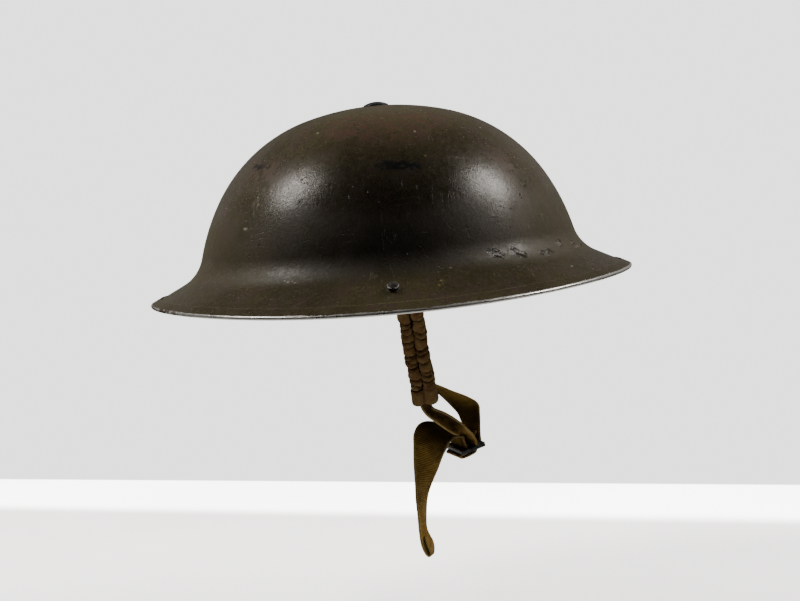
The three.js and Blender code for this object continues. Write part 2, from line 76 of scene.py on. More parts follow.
# Sleeves: each crease is its height above the foot, depth, sag at the middle and rise to the front
SLEEVE_RADIUS = {"front": 4.05, "rear": 3.6}
HEM = 11.5
CREASES = {
    "front": [(59.5, 0.9, 0.6, 0.3), (50.8, 0.9, 1.6, -0.6), (47.0, 1.5, 2.0, -1.3), (39.1, 1.5, 2.0, 0.8),
              (35.7, 1.4, 1.2, 0.5), (29.8, 1.5, 1.9, 0.4), (23.4, 0.8, 1.4, 0.2), (20.8, 1.4, 2.3, 0.4),
              (16.7, 1.4, 1.8, 0.3), (14.3, 0.6, 0.6, 0.2)],
    "rear": [(57.7, 1.3, 0.9, -0.5), (54.3, 0.9, 0.5, 0.2), (50.5, 0.7, 0.4, 0), (45.3, 1.1, 0.9, -0.6),
             (41.5, 0.9, 0.4, 0), (35.7, 1.2, 0.4, 0.1), (33.2, 0.9, 0.2, 0.7), (30.5, 0.9, 0.3, -1.3),
             (27.0, 1.5, 0.8, -0.4), (23.2, 0.4, 0.4, 0.3), (18.8, 1.5, 0.5, -0.3), (14.3, 1.1, 0.4, -1.2),
             (11.3, 0.9, 0.4, -0.3)],
}

# Buckle: where the part has it, and turned a little to lie as in the photograph
BUCKLE_CENTRE = np.array([37.7, -16, -103.4])
PART_BUCKLE = ([0.862, 0.342, 0.38], [-0.436, 0.876, 0.2])
SHOWN_BUCKLE = ([0.897, 0.376, 0.231], [-0.404, 0.911, 0.085])

# Webbing
WEB_WIDTH = 19
WEB_THICK = 1.3
RIB_PITCH = 1.15
RIB_HEIGHT = 0.11
WEB_STEP = 0.21
WEB_COLUMNS = 25
WEB_FOLD = 0.35
WARP_PITCH = 0.55

# Looks: linear colours
PAINT = (0.062, 0.052, 0.023)
PAINT_DEEP = (0.041, 0.033, 0.014)
PAINT_PALE = (0.095, 0.083, 0.040)
PAINT_RED = (0.070, 0.043, 0.036)
PAINT_SCRATCH = (0.20, 0.17, 0.10)
RUST = (0.084, 0.044, 0.028)
DUST = (0.085, 0.074, 0.046)
SMUDGE_BLACK = (0.010, 0.012, 0.017)
PALE_SPECK = (0.36, 0.33, 0.26)
ORANGE_SPECK = (0.26, 0.20, 0.075)
CHIP_DEEP = (0.016, 0.012, 0.009)
CHIP_GREY = (0.150, 0.136, 0.120)
RIVET_GREY = (0.10, 0.092, 0.085)
BARE_STEEL = (0.92, 0.90, 0.85)
DULL_STEEL = (0.20, 0.19, 0.17)
BLACKENED = (0.020, 0.023, 0.024)
BLACKENED_PALE = (0.085, 0.096, 0.105)
CANVAS = (0.330, 0.202, 0.078)
CANVAS_RED = (0.290, 0.152, 0.062)
CANVAS_OLIVE = (0.375, 0.272, 0.110)
# Near black for painted shade on the canvas
CANVAS_SHADE = (0.006, 0.003, 0.001)
WEBBING = (0.350, 0.218, 0.052)
WEBBING_DARK = (0.245, 0.140, 0.028)
WEBBING_PALE = (0.560, 0.420, 0.180)
# Near black for painted shade on the webbing
WEBBING_SHADE = (0.022, 0.012, 0.002)

# Marks on the shell: angle from the front in degrees, reach, half-width and half-height
RUST_AREAS = [(-85, 68, 34, 22), (-105, 60, 26, 20), (-62, 62, 24, 18), (-140, 92, 20, 16), (-40, 96, 14, 20)]
SMUDGES = [(-88, 93.5, 8, 5), (-83, 94, 8, 4.5), (-78.5, 94.8, 7, 4.5), (-145, 88, 6, 4), (-150, 88, 4, 3)]
CHIPS = [(-59.8, 120.6, 5, 3.2), (-57.8, 122, 5, 3), (-52.8, 121.4, 6, 3.2), (-50.2, 122.6, 5, 2.8),
         (-40.5, 123.7, 9, 2.2), (-31, 121, 4, 4), (-22, 122.5, 4, 4), (-16, 123.5, 4, 3),
         (-51.9, 111.8, 1.6, 1.6), (-45, 111, 1.3, 1.5), (-46.6, 108.9, 1.2, 1.2), (-41.3, 109.5, 1.3, 1.3),
         (-119.2, 97.5, 1.3, 1.6), (-118.1, 105.1, 1.1, 1.3)]
PALE_MARKS = [(-138.9, 111.7, 2.6, 1.1), (-131.4, 100.6, 0.9, 0.8), (-115.5, 101.4, 0.8, 0.7),
              (-99.8, 101.4, 0.8, 0.7), (-78.8, 103.3, 0.9, 0.7), (-72.3, 72.5, 1.0, 3.0),
              (-31.7, 73.8, 1.0, 0.9), (-73.5, 124.8, 1.0, 0.7), (-37.7, 136.7, 1.2, 0.8),
              (-123.7, 65.7, 1.1, 0.9), (-119.6, 124.9, 1.0, 0.5), (-118.4, 125.6, 1.5, 0.6),
              (-117.1, 125.3, 0.8, 0.5), (-116.1, 126.2, 1.1, 0.4)]
YELLOW_MARKS = [(-77.2, 132.2, 1.3, 1.6), (-78.2, 135.3, 1.2, 1.0), (-72.6, 90.3, 1.0, 1.0),
                (-135.7, 105, 1.2, 1.1), (-20.3, 123.6, 1.6, 1.2), (-6.4, 128.2, 1.6, 1.0)]
UNSCRATCHED = (94, 46, 30, 30)
DUST_REACH = 118
MARK_DRIFT = (0.006, 0.006, 0.006)
SCRATCH_WIDTH = 0.008

RIM_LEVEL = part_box("shell")[1].z / MM - CROWN_HEIGHT


def in_frame(points):
    """Millimetres from the rim's level to metres in the frame."""
    return (np.asarray(points, float) + [0, 0, RIM_LEVEL]) * MM


def unit(vectors):
    vectors = np.asarray(vectors, float)
    return vectors / np.maximum(np.linalg.norm(vectors, axis=-1, keepdims=True), 1e-12)


def linked(name, data):
    """A new object in the scene."""
    made = bpy.data.objects.new(name, data)
    bpy.context.collection.objects.link(made)
    return made


# Camera, light and table: places in millimetres from the rim's level, the table's measures in metres

CAMERA_PLACE = (4.5, -1300, 80)
CAMERA_AIM = (4.5, 0, -10)
CAMERA_ROLL = math.radians(4.985)
CAMERA_LENS = 92.5
FLOOR_LEVEL = -193
BACKGROUND = (2.34, 2.36, 2.31)
TABLE_HALF = 6
TABLE_GLOW = (2.2, 2.17, 2.1)
# Painted light: how bright the table glows in a band near its far edge, a painted pool of light
TABLE_PAINTED_LIGHT = 3.2
TABLE_EDGE = 0.42
TABLE_EDGE_BLUR = 0.004
# Where that painted pool of light lies, in metres along the table
TABLE_PAINTED_LIGHT_BAND = (0.24, 0.29)
TABLE_EDGE_TURN = 0.6
TABLE_BOUNCE = (0.24, 0.7)
TABLE_NEAR_TONE = (0.72, 0.72, 0.72)
TABLE_FAR_TONE = (0.03, 0.03, 0.03)
OVERHEAD = 0.06
WALL_LIGHT = 0.10
SIDE_LIGHT = 0.13
WORLD_TINT = (1, 0.995, 0.98)
# Each light's name, direction, size, power and the reflections that it is left out of
LIGHTS = [
    ("left_shine", (-0.66, -0.13, 0.74), 0.28, 4.3, "diffuse"),
    ("right_shine", (0.79, -0.10, 0.61), 0.34, 5.2, "diffuse"),
    ("left_soft", (-0.66, 0.3, 0.69), 0.5, 18, "glossy"),
    ("right_soft", (0.74, 0.3, 0.6), 0.5, 16.5, "glossy"),
]
LIGHT_AIM = (0, 0, 40)
LIGHT_DISTANCE = 1.15
LIGHT_TINT = (1.0, 0.955, 0.905)


def make_camera():
    data = bpy.data.cameras.new("camera")
    data.lens = CAMERA_LENS
    data.clip_end = 100
    camera = linked("camera", data)
    camera.location = Vector(in_frame(CAMERA_PLACE))
    aim = Vector(in_frame(CAMERA_AIM)) - camera.location
    camera.rotation_mode = "QUATERNION"
    camera.rotation_quaternion = aim.to_track_quat("-Z", "Y") @ Quaternion((0, 0, 1), -CAMERA_ROLL)
    bpy.context.scene.camera = camera


def soft_light(name, direction, size, power, hides):
    """A square light that is left out of either the diffuse or the glossy reflections."""
    data = bpy.data.lights.new(name, "AREA")
    data.size = size
    data.energy = power
    data.color = LIGHT_TINT
    light = linked(name, data)
    light.visible_diffuse = hides != "diffuse"
    light.visible_glossy = hides != "glossy"
    towards = Vector(direction).normalized()
    light.location = Vector(in_frame(LIGHT_AIM)) + towards * LIGHT_DISTANCE
    light.rotation_mode = "QUATERNION"
    light.rotation_quaternion = (-towards).to_track_quat("-Z", "Y")


class Shade:
    """A material or world under construction. Most methods add nodes and return an output."""

    def __init__(self, name, colour=None, kind="materials"):
        self.data = getattr(bpy.data, kind).new(name)
        self.data.use_nodes = True
        self.tree = self.data.node_tree
        self.colour = colour
        self.relief = None

    def node(self, kind, sockets=None, output=0, **settings):
        made = self.tree.nodes.new("ShaderNode" + kind)
        for key, value in settings.items():
            setattr(made, key, value)
        for key, value in (sockets or {}).items():
            self.feed(made.inputs[key], value)
        return made.outputs[output]

    def feed(self, socket, value):
        if isinstance(value, bpy.types.NodeSocket):
            self.tree.links.new(value, socket)
        elif socket.type == "RGBA":
            socket.default_value = (*value, 1.0)
        else:
            socket.default_value = value

    def math(self, operation, found, *others):
        """Joins the first value with each of the others in turn."""
        for other in others or (0.0,):
            found = self.node("Math", {0: found, 1: other}, operation=operation)
        return found

    def add(self, *values):
        return self.math("ADD", *values)

    def times(self, *values):
        return self.math("MULTIPLY", *values)

    def either(self, *values):
        return self.math("MAXIMUM", *values)

    def less(self, value):
        return self.math("SUBTRACT", 1.0, value)

    def apart(self, value, level=0.0):
        return self.math("ABSOLUTE", self.math("SUBTRACT", value, level))

    def vector(self, operation, a, b=(0, 0, 0)):
        return self.node("VectorMath", {0: a, 1: b}, output=int(operation == "LENGTH"), operation=operation)

    def axes(self, where):
        return self.node("SeparateXYZ", {0: where}, output=slice(3))

    def place(self):
        return self.node("TexCoord", output=3)

    def fact(self, name):
        """What the mesh says under that name."""
        return self.node("Attribute", output=2, attribute_name=name)

    def turned(self, turn, where=None, scale=(1, 1, 1)):
        """Places turned by angles about X, Y and Z, and scaled."""
        return self.node("Mapping", {"Vector": where or self.place(), "Scale": scale, "Rotation": turn})

    def noise(self, scale, detail=4.0, rough=0.55, where=None):
        sockets = {"Vector": where or self.place(), "Scale": scale, "Detail": detail, "Roughness": rough}
        return self.node("TexNoise", sockets)

    def step(self, value, low, high, to_low=0.0, to_high=1.0):
        sockets = {"Value": value, "From Min": low, "From Max": high, "To Min": to_low, "To Max": to_high}
        return self.node("MapRange", sockets, interpolation_type="SMOOTHSTEP")

    def blots(self, low, high, *noise):
        """Patches where a noise rises from low to high."""
        return self.step(self.noise(*noise), low, high)

    def lay(self, colour, share, amount=1.0):
        """Lays a colour over the one so far, by a share and an amount."""
        sockets = {0: self.times(share, amount), 6: self.colour, 7: colour}
        self.colour = self.node("Mix", sockets, output=2, data_type="RGBA")

    def spot(self, where, centre, radii):
        """1 at the centre and 0 beyond the radii, in metres along X, Y and Z."""
        away = self.vector("SUBTRACT", where, centre)
        shrunk = self.vector("MULTIPLY", away, tuple(1 / radius for radius in radii))
        return self.step(self.vector("LENGTH", shrunk), 1.0, 0.35)

    def dots(self, scale, size, share, where):
        """Small round dots, in a share of the cells of a scattered pattern."""
        far, tint = self.node("TexVoronoi", {"Vector": where, "Scale": scale}, output=slice(2))
        pick = self.node("SeparateColor", {0: tint})
        return self.times(self.step(far, size, size * 0.5), self.math("LESS_THAN", pick, share))

    def emboss(self, height, distance, strength=1.0):
        """Adds a bump, its depth in metres, to the relief so far."""
        sockets = {"Height": height, "Distance": distance, "Strength": strength}
        if self.relief:
            sockets["Normal"] = self.relief
        self.relief = self.node("Bump", sockets)

    def finish(self, **sockets):
        """Feeds the shader with the colour and relief so far and the rest that is given."""
        shader = self.tree.nodes["Principled BSDF"]
        sockets["Base_Color"] = self.colour
        if self.relief:
            sockets["Normal"] = self.relief
        for key, value in sockets.items():
            self.feed(shader.inputs[key.replace("_", " ")], value)
        return self.data

    def surface(self, end, share, a, b):
        """Ends in a mix of two shaders."""
        mixed = self.node("MixShader", {0: share, 1: a, 2: b})
        self.tree.links.new(mixed, self.tree.nodes[end].inputs["Surface"])


# Meshes


def grid_object(name, points, uv=None, closed=False, facts=None):
    """A mesh from rows of points in millimetres, rings that join up if closed and are capped if not."""
    rows, cols = points.shape[:2]
    i, j = (index.ravel() for index in np.indices((rows if closed else rows - 1, cols)))
    i2, j2 = (i + 1) % rows, (j + 1) % cols
    faces = np.stack([i * cols + j, i * cols + j2, i2 * cols + j2, i2 * cols + j], axis=1).tolist()
    if not closed:
        faces.append(list(range(cols)))
        faces.append([(rows - 1) * cols + k for k in reversed(range(cols))])
    mesh = bpy.data.meshes.new(name)
    mesh.from_pydata(in_frame(points.reshape(-1, 3)).tolist(), [], faces)
    if uv is not None:
        corners = np.stack([uv[i, j], uv[i, j + 1], uv[i + 1, j + 1], uv[i + 1, j]], axis=1).reshape(-1, 2)
        flat = np.zeros((len(mesh.loops), 2))
        flat[: len(corners)] = corners
        mesh.uv_layers.new(name="uv").data.foreach_set("uv", flat.ravel())
    for fact, values in (facts or {}).items():
        mesh.attributes.new(fact, "FLOAT", "POINT").data.foreach_set("value", values.ravel())
    return finish_mesh(name, mesh)


def finish_mesh(name, mesh):
    work = bmesh.new()
    work.from_mesh(mesh)
    bmesh.ops.recalc_face_normals(work, faces=work.faces)
    work.to_mesh(mesh)
    work.free()
    mesh.shade_smooth()
    return linked(name, mesh)


def own_mesh(name, node, bevel):
    """A copy of a node's solid with rounded edges."""
    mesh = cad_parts[node].data.copy()
    mesh.name = name
    mesh.materials.clear()
    work = bmesh.new()
    work.from_mesh(mesh)
    bmesh.ops.remove_doubles(work, verts=work.verts, dist=0.01 * MM)
    bmesh.ops.dissolve_limit(work, angle_limit=math.radians(2), verts=work.verts, edges=work.edges)
    bmesh.ops.recalc_face_normals(work, faces=work.faces)
    sharp = [e for e in work.edges if len(e.link_faces) == 2 and e.calc_face_angle() > SHARP_ANGLE]
    bmesh.ops.bevel(work, geom=sharp, offset=bevel * MM, segments=3, profile=0.5, affect="EDGES",
                    clamp_overlap=True)
    work.to_mesh(mesh)
    work.free()
    mesh.shade_smooth()
    mesh.set_sharp_from_angle(angle=math.radians(50))
    return linked(name, mesh)


def settle(piece, material, slot, *nodes):
    """Gives a finished piece its material and its body, and hides the nodes that it stands for. The slot is
    not used.
    """
    piece.data.materials.clear()
    piece.data.materials.append(material)
    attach(piece, "root")
    if nodes:
        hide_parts(*nodes)


# Shell form


def brim_share(reach):
    return np.clip((reach - FLARE_REACH) / (RIM_REACH - FLARE_REACH), 0, 1) ** BRIM_BLEND


def side_reach(reach):
    spread = RIM_HALF_WIDTH - RIM_REACH * BOWL_WIDTH_RATIO
    return reach * BOWL_WIDTH_RATIO + spread * brim_share(reach)


def oval(section, count, wander=None):
    """Turns a section, rows of reach and height, round the axis into the helmet's oval form."""
    turn = np.linspace(0, 2 * math.pi, count, endpoint=False)[:, None]
    reach, height = section.T[:, None]
    if wander:
        reach, height = wander(turn, reach, height)
    x = reach * np.cos(turn)
    y = side_reach(reach) * np.sin(turn)
    z = height - SIDE_DROOP * brim_share(reach) * np.sin(turn) ** 2
    return np.stack([x, y, z * np.ones_like(x)], axis=2)


def outline_stations():
    """Points of the outer face from the crown to the sheet's edge: reach, height and downward slope."""
    found = [(0, CROWN_HEIGHT, 0)]
    for radius, degrees, steps in OUTLINE:
        turn = math.radians(degrees) / steps
        chord = 2 * radius * abs(math.sin(turn / 2))
        for _ in range(steps):
            reach, height, slope = found[-1]
            heading = slope + turn / 2
            reach, height = reach + chord * math.cos(heading), height - chord * math.sin(heading)
            found.append((reach, height, slope + turn))
    reach, height, slope = found[-1]
    for step in range(1, BRIM_STEPS + 1):
        out = (EDGE_REACH - reach) * step / BRIM_STEPS
        found.append((reach + out, height - out * math.tan(slope), slope))
    return np.array(found)


STATIONS = outline_stations()


def shell_point(angle, reach):
    """A point in millimetres on the outer face, by its angle from the front in degrees and its reach."""
    height = np.interp(reach, STATIONS[:, 0], STATIONS[:, 1])
    cos, sin = math.cos(math.radians(angle)), math.sin(math.radians(angle))
    return reach * cos, side_reach(reach) * sin, height - SIDE_DROOP * brim_share(reach) * sin ** 2


def section_uv(points, round_length):
    """UV in millimetres: round the helmet, and along the section."""
    closed = np.concatenate([points[0], points[0][:1]])
    along = np.concatenate([[0], np.cumsum(np.linalg.norm(np.diff(closed, axis=0), axis=1))])
    return np.stack(np.meshgrid(np.linspace(0, round_length, len(points) + 1), along, indexing="ij"), axis=2)


def make_shell(material):
    outer = STATIONS.copy()
    crown_radius = OUTLINE[0][0]
    outer[0] = [CROWN_HOLE_RADIUS, CROWN_HEIGHT - CROWN_HOLE_RADIUS ** 2 / 2 / crown_radius, 0]
    inner = outer.copy()
    inner[:, 0] -= SHEET * np.sin(outer[:, 2])
    inner[:, 1] -= SHEET * np.cos(outer[:, 2])
    section = np.concatenate([outer[:, :2], inner[::-1, :2]])
    points = oval(section, AROUND)
    outside = (np.arange(len(section)) < len(outer)).astype(float)
    facts = {"reach": np.tile(section[:, 0], (AROUND, 1)), "outside": np.tile(outside, (AROUND, 1))}
    shell = grid_object("steel_shell", points, section_uv(points, SHELL_ROUND), closed=True, facts=facts)
    settle(shell, material, "shell_paint", "shell")


def rim_section():
    """The strip folded round the sheet's edge: reach and height, then out and up from the edge's middle."""
    half, lip = SHEET / 2 + RIM_SLACK, RIM_THICK / 2

    def arc(centre_out, centre_up, wide, tall, start, stop, count):
        turn = np.radians(np.linspace(start, stop, count))
        return np.stack([centre_out + wide * np.cos(turn), centre_up + tall * np.sin(turn)], axis=1)

    out, up = np.concatenate([
        arc(0, 0, RIM_NOSE, half + RIM_THICK, 90, -90, 17),
        arc(-RIM_LEG, -half - lip, lip, lip, -90, -270, 7),
        arc(0, 0, RIM_SLACK, half, -90, 90, 7),
        arc(-RIM_LEG, half + lip, lip, lip, -90, -270, 7),
        [(place, half + RIM_THICK) for place in RIM_TOP_POINTS],
    ]).T
    reach, height, slope = STATIONS[-1]
    cos, sin, high = math.cos(slope), math.sin(slope), up - SHEET / 2
    return np.stack([reach + out * cos + high * sin, height - out * sin + high * cos], axis=1), out, up


def make_rim(material):
    section, out, up = rim_section()
    edge_reach, _, slope = STATIONS[-1]

    def wander(turn, reach, height):
        """The strip's lips wave a little, as a hammered fold does."""
        wave = 0.16 * np.sin(9 * turn + 1) + 0.12 * np.sin(23 * turn + 2) + 0.09 * np.sin(47 * turn)
        shift = wave * np.clip((edge_reach - 2 - reach) / 3, 0, 1)
        return reach + shift * math.cos(slope), height - shift * math.sin(slope)

    points = oval(section, 2 * AROUND, wander)
    # Wear along the nose, less on its underside so that the paint stays darker there, as painted shade
    nose = np.clip(1 - np.abs(out - RIM_NOSE) / 2.0, 0, 1) * np.where(up > 0, 1, 0.7)
    # The lip's upper side, paler in the material: scuff, and a painted highlight along its edge
    lip = np.clip(1.25 - np.abs(out + RIM_LEG + RIM_THICK / 2) / 0.9, 0, 1) * (up > 0)
    facts = {"nose": np.tile(nose, (len(points), 1)), "lip": np.tile(lip, (len(points), 1))}
    rim = grid_object("folded_rim", points, section_uv(points, RIM_ROUND), closed=True, facts=facts)
    settle(rim, material, "rim_steel", "rim_strip")


# Turned fasteners, on an axis through a base point with the head's side up


def lathe(name, profile, base, up, sides, facts=None):
    """A solid of revolution: profile rows are radius and height above the base, from the top down."""
    up = unit(up)
    across = unit(np.cross(up, [0, 1, 0.3]))
    angles = np.linspace(0, 2 * math.pi, sides, endpoint=False)[:, None]
    ring = np.cos(angles) * across + np.sin(angles) * np.cross(up, across)
    radius, height = np.array(profile).T[:, :, None, None]
    facts = {fact: np.tile(values[:, None], (1, sides)) for fact, values in (facts or {}).items()}
    return grid_object(name, base + radius * ring + height * up, facts=facts)


def dome(radius, rise, skirt, steps):
    """Rows of a low dome from near its top to the foot of its skirt."""
    sphere = (radius ** 2 + rise ** 2) / (2 * rise)
    angles = [math.asin(radius / sphere) * step / steps for step in range(1, steps)]
    rows = [(sphere * math.sin(a), skirt + rise - sphere * (1 - math.cos(a))) for a in angles]
    return rows + [(radius - 0.12, skirt + 0.08), (radius, skirt - 0.12)]


def carve(piece, cutter):
    """Takes the cutter's room out of the piece, and the cutter with it."""
    cut = piece.modifiers.new("cut", "BOOLEAN")
    cut.operation = "DIFFERENCE"
    cut.object = cutter
    cut.solver = "EXACT"
    carved = evaluated_mesh(piece)
    piece.modifiers.clear()
    piece.data = carved
    carved.shade_smooth()
    carved.set_sharp_from_angle(angle=SHARP_ANGLE)
    bpy.data.objects.remove(cutter)


def evaluated_mesh(piece):
    bpy.context.view_layer.update()
    return bpy.data.meshes.new_from_object(piece.evaluated_get(bpy.context.evaluated_depsgraph_get()))


def block(centre, size, turn):
    """A box in millimetres, turned about its upright axis."""
    cos, sin = math.cos(turn), math.sin(turn)
    ways = [(x, y, z) for z in (-0.5, 0.5) for x, y in ((-0.5, -0.5), (0.5, -0.5), (0.5, 0.5), (-0.5, 0.5))]
    x, y, z = (np.array(ways) * size).T
    place = np.stack([cos * x - sin * y, sin * x + cos * y, z], axis=1) + centre
    faces = [(0, 3, 2, 1), (4, 5, 6, 7), (0, 1, 5, 4), (1, 2, 6, 5), (2, 3, 7, 6), (3, 0, 4, 7)]
    mesh = bpy.data.meshes.new("cutter")
    mesh.from_pydata(in_frame(place).tolist(), [], faces)
    return linked("cutter", mesh)


BOLT_HEAD = {"radius": 7.8, "rise": 2.0, "skirt": 0.4}
BOLT_SETTLE = 0.5
BOLT_SHANK_RADIUS = 3
BOLT_SLOT = {"width": 1.4, "depth": 0.95, "turn": 35}


def make_bolt(material):
    low, high = (corner.z / MM - RIM_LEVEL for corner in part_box("crown_bolt"))
    high -= BOLT_SETTLE
    base = high - BOLT_HEAD["rise"] - BOLT_HEAD["skirt"]
    head, shank = BOLT_HEAD["radius"], BOLT_SHANK_RADIUS
    rows = dome(**BOLT_HEAD, steps=20) + [(head, -0.08), (head - 0.25, -0.15), (shank, 0.05)]
    rows += [(shank, low - base + 0.3), (shank - 0.3, low - base)]
    bolt = lathe("crown_bolt_head", rows, (0, 0, base), (0, 0, 1), 96)
    size = (BOLT_SLOT["width"], 3 * head, 2 * BOLT_SLOT["depth"])
    carve(bolt, block((0, 0, high), size, math.radians(BOLT_SLOT["turn"])))
    settle(bolt, material, "blackened_steel", "crown_bolt")


RIVET_FORWARD = 1.2
RIVET_REACH = 134
RIVET_HEAD = {"radius": 3.5, "rise": 0.4, "skirt": 1.9, "round": 0.28}
RIVET_RING = {"radius": 4.2, "thick": 0.2}
RIVET_SHANK_RADIUS = 2.2
RIVET_TAIL = {"radius": 3.6, "top": -3.7, "bottom": -4.8}


def brim_seat(side):
    """The rivet's place on the brim's outer face and the outward normal there."""
    inner, middle, outer = (shell_point(90, RIVET_REACH + step) for step in (-2, 0, 2))
    slope = math.atan2(inner[2] - outer[2], outer[1] - inner[1])
    seat = np.array([RIVET_FORWARD, side * middle[1], middle[2]])
    return seat, (0, side * math.sin(slope), math.cos(slope))


def make_rivet(side, side_name, material):
    seat, normal = brim_seat(side)
    radius, rise, skirt, turn = RIVET_HEAD.values()
    rows = dome(radius - turn, rise, skirt, 8)[:-1]
    edge_from = len(rows) - 1
    for a in np.radians([60, 40, 20, 0]):
        rows.append((radius - turn + turn * math.cos(a), skirt - turn + turn * math.sin(a)))
    edge_to = len(rows)
    rows += [(radius, skirt - turn - 0.1), (radius, 0.25), (radius + 0.1, 0.12)]
    ring_from = len(rows)
    ring, thick = RIVET_RING.values()
    rows.append((ring - thick, 0.1))
    rows += [(ring + thick * math.cos(a), thick * math.sin(a)) for a in np.radians([140, 90, 45, 0, -20])]
    rows.append((RIVET_SHANK_RADIUS, -0.15))
    ring_to = len(rows)
    tail, top, bottom = RIVET_TAIL.values()
    rows += [(RIVET_SHANK_RADIUS, top), (tail, top), (tail, bottom + 0.4), (tail - 0.5, bottom)]
    # The head's rounded edge gets bare steel in the material: wear, and a painted highlight
    bright, painted = np.zeros(len(rows)), np.zeros(len(rows))
    bright[edge_from:edge_to] = 1
    painted[ring_from:ring_to] = 1
    rivet = lathe("strap_rivet_head_" + side_name, rows, seat, normal, 56, {"edge": bright, "ring": painted})
    settle(rivet, material, "shell_paint", "strap_rivet_" + side_name)


# Sleeves

SLEEVE_ROWS = 380
SLEEVE_COLUMNS = 96
SMALL_CREASES = 26
THREADS = 9
THREAD_RADIUS = 0.11


def node_axis(node):
    """The ends, in millimetres, of the line down the middle of a long node."""
    points = np.array([vertex.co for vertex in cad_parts[node].data.vertices]) / MM - [0, 0, RIM_LEVEL]
    middle = points.mean(axis=0)
    down = np.linalg.svd(points - middle, full_matrices=False)[2][0]
    down = down if down[2] < 0 else -down
    reach = (points - middle) @ down
    return middle + down * reach.min(), middle + down * reach.max()


def wrapped(angle):
    """The angle within half a turn of 0."""
    return (angle + math.pi) % (2 * math.pi) - math.pi


def crease_profile(away):
    """A fold's shape across: steep under the cloth that overhangs it, easy below."""
    return np.where(away > 0, np.exp(-(np.abs(away) / 0.6) ** 1.3), 1 / (1 + (away / 1.15) ** 2))


def sleeve_creases(draw, side, place, height, face, length):
    """How deep the canvas dips at each point, and the shares of its dark cores, which are painted shade."""
    depth = core = np.zeros((SLEEVE_ROWS, SLEEVE_COLUMNS))
    for level, deep, sag, tilt in CREASES[place]:
        level += draw.uniform(-0.4, 0.4) if side > 0 else 0
        line = level + sag * (1 - np.cos(face)) + tilt * np.sin(face)
        line = line + 0.22 * np.sin(3 * face + draw.uniform(0, 6.3))
        line = line + 0.1 * np.sin(7 * face + draw.uniform(0, 6.3))
        reach = draw.uniform(1.7, 2.4)
        window = 1 / (1 + np.exp((np.abs(face - draw.uniform(-0.2, 0.2)) - reach) * 5))
        away = height - line
        depth = np.maximum(depth, 1.25 * deep * window * crease_profile(away))
        core = np.maximum(core, min(deep, 1.2) / 1.2 * window * np.exp(-((away - 0.1) / 0.5) ** 2))
    for _ in range(SMALL_CREASES):
        level = draw.uniform(HEM + 2, length + 1)
        off = wrapped(face - draw.uniform(-math.pi, math.pi))
        tilt = draw.uniform(-1.2, 1.2)
        away = height - (level + tilt * off + draw.uniform(-0.3, 0.9) * off ** 2)
        window = 1 / (1 + np.exp((np.abs(off) - draw.uniform(0.5, 1.1)) * 7))
        deep = draw.uniform(0.3, 0.8)
        depth = np.maximum(depth, deep * window * crease_profile(away * 1.4))
        core = np.maximum(core, deep * 0.55 * window * np.exp(-(away / 0.3) ** 2))
    return depth, core


def make_sleeve(side, side_name, place, material, seed):
    """A ruched canvas tube, joined to its twin by a seam: sagging creases, lobes and a gathered hem."""
    node = f"spring_sleeve_{side_name}_{place}"
    top, foot = node_axis(node)
    twin_top, twin_foot = node_axis(f"spring_sleeve_{side_name}_{'rear' if place == 'front' else 'front'}")
    down = unit(foot - top)
    length = float(np.linalg.norm(foot - top))
    outward = unit(np.array([0, side, 0]) - down * down[1] * side)
    sideways = np.cross(outward, down)
    if sideways[0] < 0:
        sideways = -sideways
    half_gap = abs(float((twin_top + twin_foot - top - foot) @ sideways)) / 4
    radius = SLEEVE_RADIUS[place]

    height = np.linspace(length, 0, SLEEVE_ROWS)[:, None]
    turn = np.linspace(0, 2 * math.pi, SLEEVE_COLUMNS, endpoint=False)[None, :]
    face = wrapped(turn)
    from_seam = wrapped(face - (math.pi / 2 if place == "rear" else -math.pi / 2))
    depth, core = sleeve_creases(random.Random(seed), side, place, height, face, length)

    hem = np.clip((HEM + 0.6 - height) / 1.4, 0, 1)
    gathers = 0.16 * np.sin(9 * turn + 1.3 * np.sin(2 * turn) + seed) + 0.1 * np.sin(14 * turn + seed)
    swell = 0.22 * np.sin(height * 0.45 + seed) * (1 - hem) + 0.25 * hem
    lobes = 0.1 * np.sin(2 * turn + height * 0.35 + seed) + 0.08 * np.sin(3 * turn - height * 0.6)
    closing = 0.42 + 0.58 * np.sqrt(1 - (1 - np.clip(height / 3.2, 0, 1)) ** 2)
    gather_depth = np.clip((6.5 - height) / 6.5, 0, 1) * 0.9 + 0.25
    r = radius + 0.3 + swell + lobes - depth * (1 - 0.6 * hem) + gathers * hem * gather_depth
    seam = np.exp(-(from_seam / 0.3) ** 2)
    r = (r + seam * np.maximum(half_gap + 0.12 - r, 0)) * closing
    lean = 0.3 * np.sin(height * 0.16 + side)
    round_, across = r * np.cos(turn), r * np.sin(turn) + lean
    points = foot - down * height[:, :, None] + outward * round_[:, :, None] + sideways * across[:, :, None]

    # The crease share for the material's near black: painted shade in the crease cores and deeper creases, in
    # the gap between the twin tubes near the top and between the gathers at the foot; also a dark stitching
    # line at the hem, and the hem a little darker overall
    upper = np.clip((height - length + 18) / 10, 0, 1)
    gap = np.exp(-(from_seam / (0.34 + 0.36 * upper)) ** 2)
    gathered = np.clip((2.5 - height) / 2.5, 0, 1) * (0.5 - 0.5 * np.sin(9 * turn + seed))
    dark = np.maximum(core, 0.35 * np.clip(depth / 1.3, 0, 1))
    for share in (0.9 * gap, gathered, 0.3 * np.exp(-((height - HEM) / 0.5) ** 2), 0.27 * hem):
        dark = np.maximum(dark, share)
    around = np.linspace(0, 2 * math.pi * radius, SLEEVE_COLUMNS + 1)
    uv = np.stack(np.meshgrid(length - height[:, 0], around, indexing="ij"), axis=2)
    settle(grid_object("canvas_" + node, points, uv, facts={"crease": dark}), material, "sleeve_canvas", node)
    return foot, down, outward, sideways


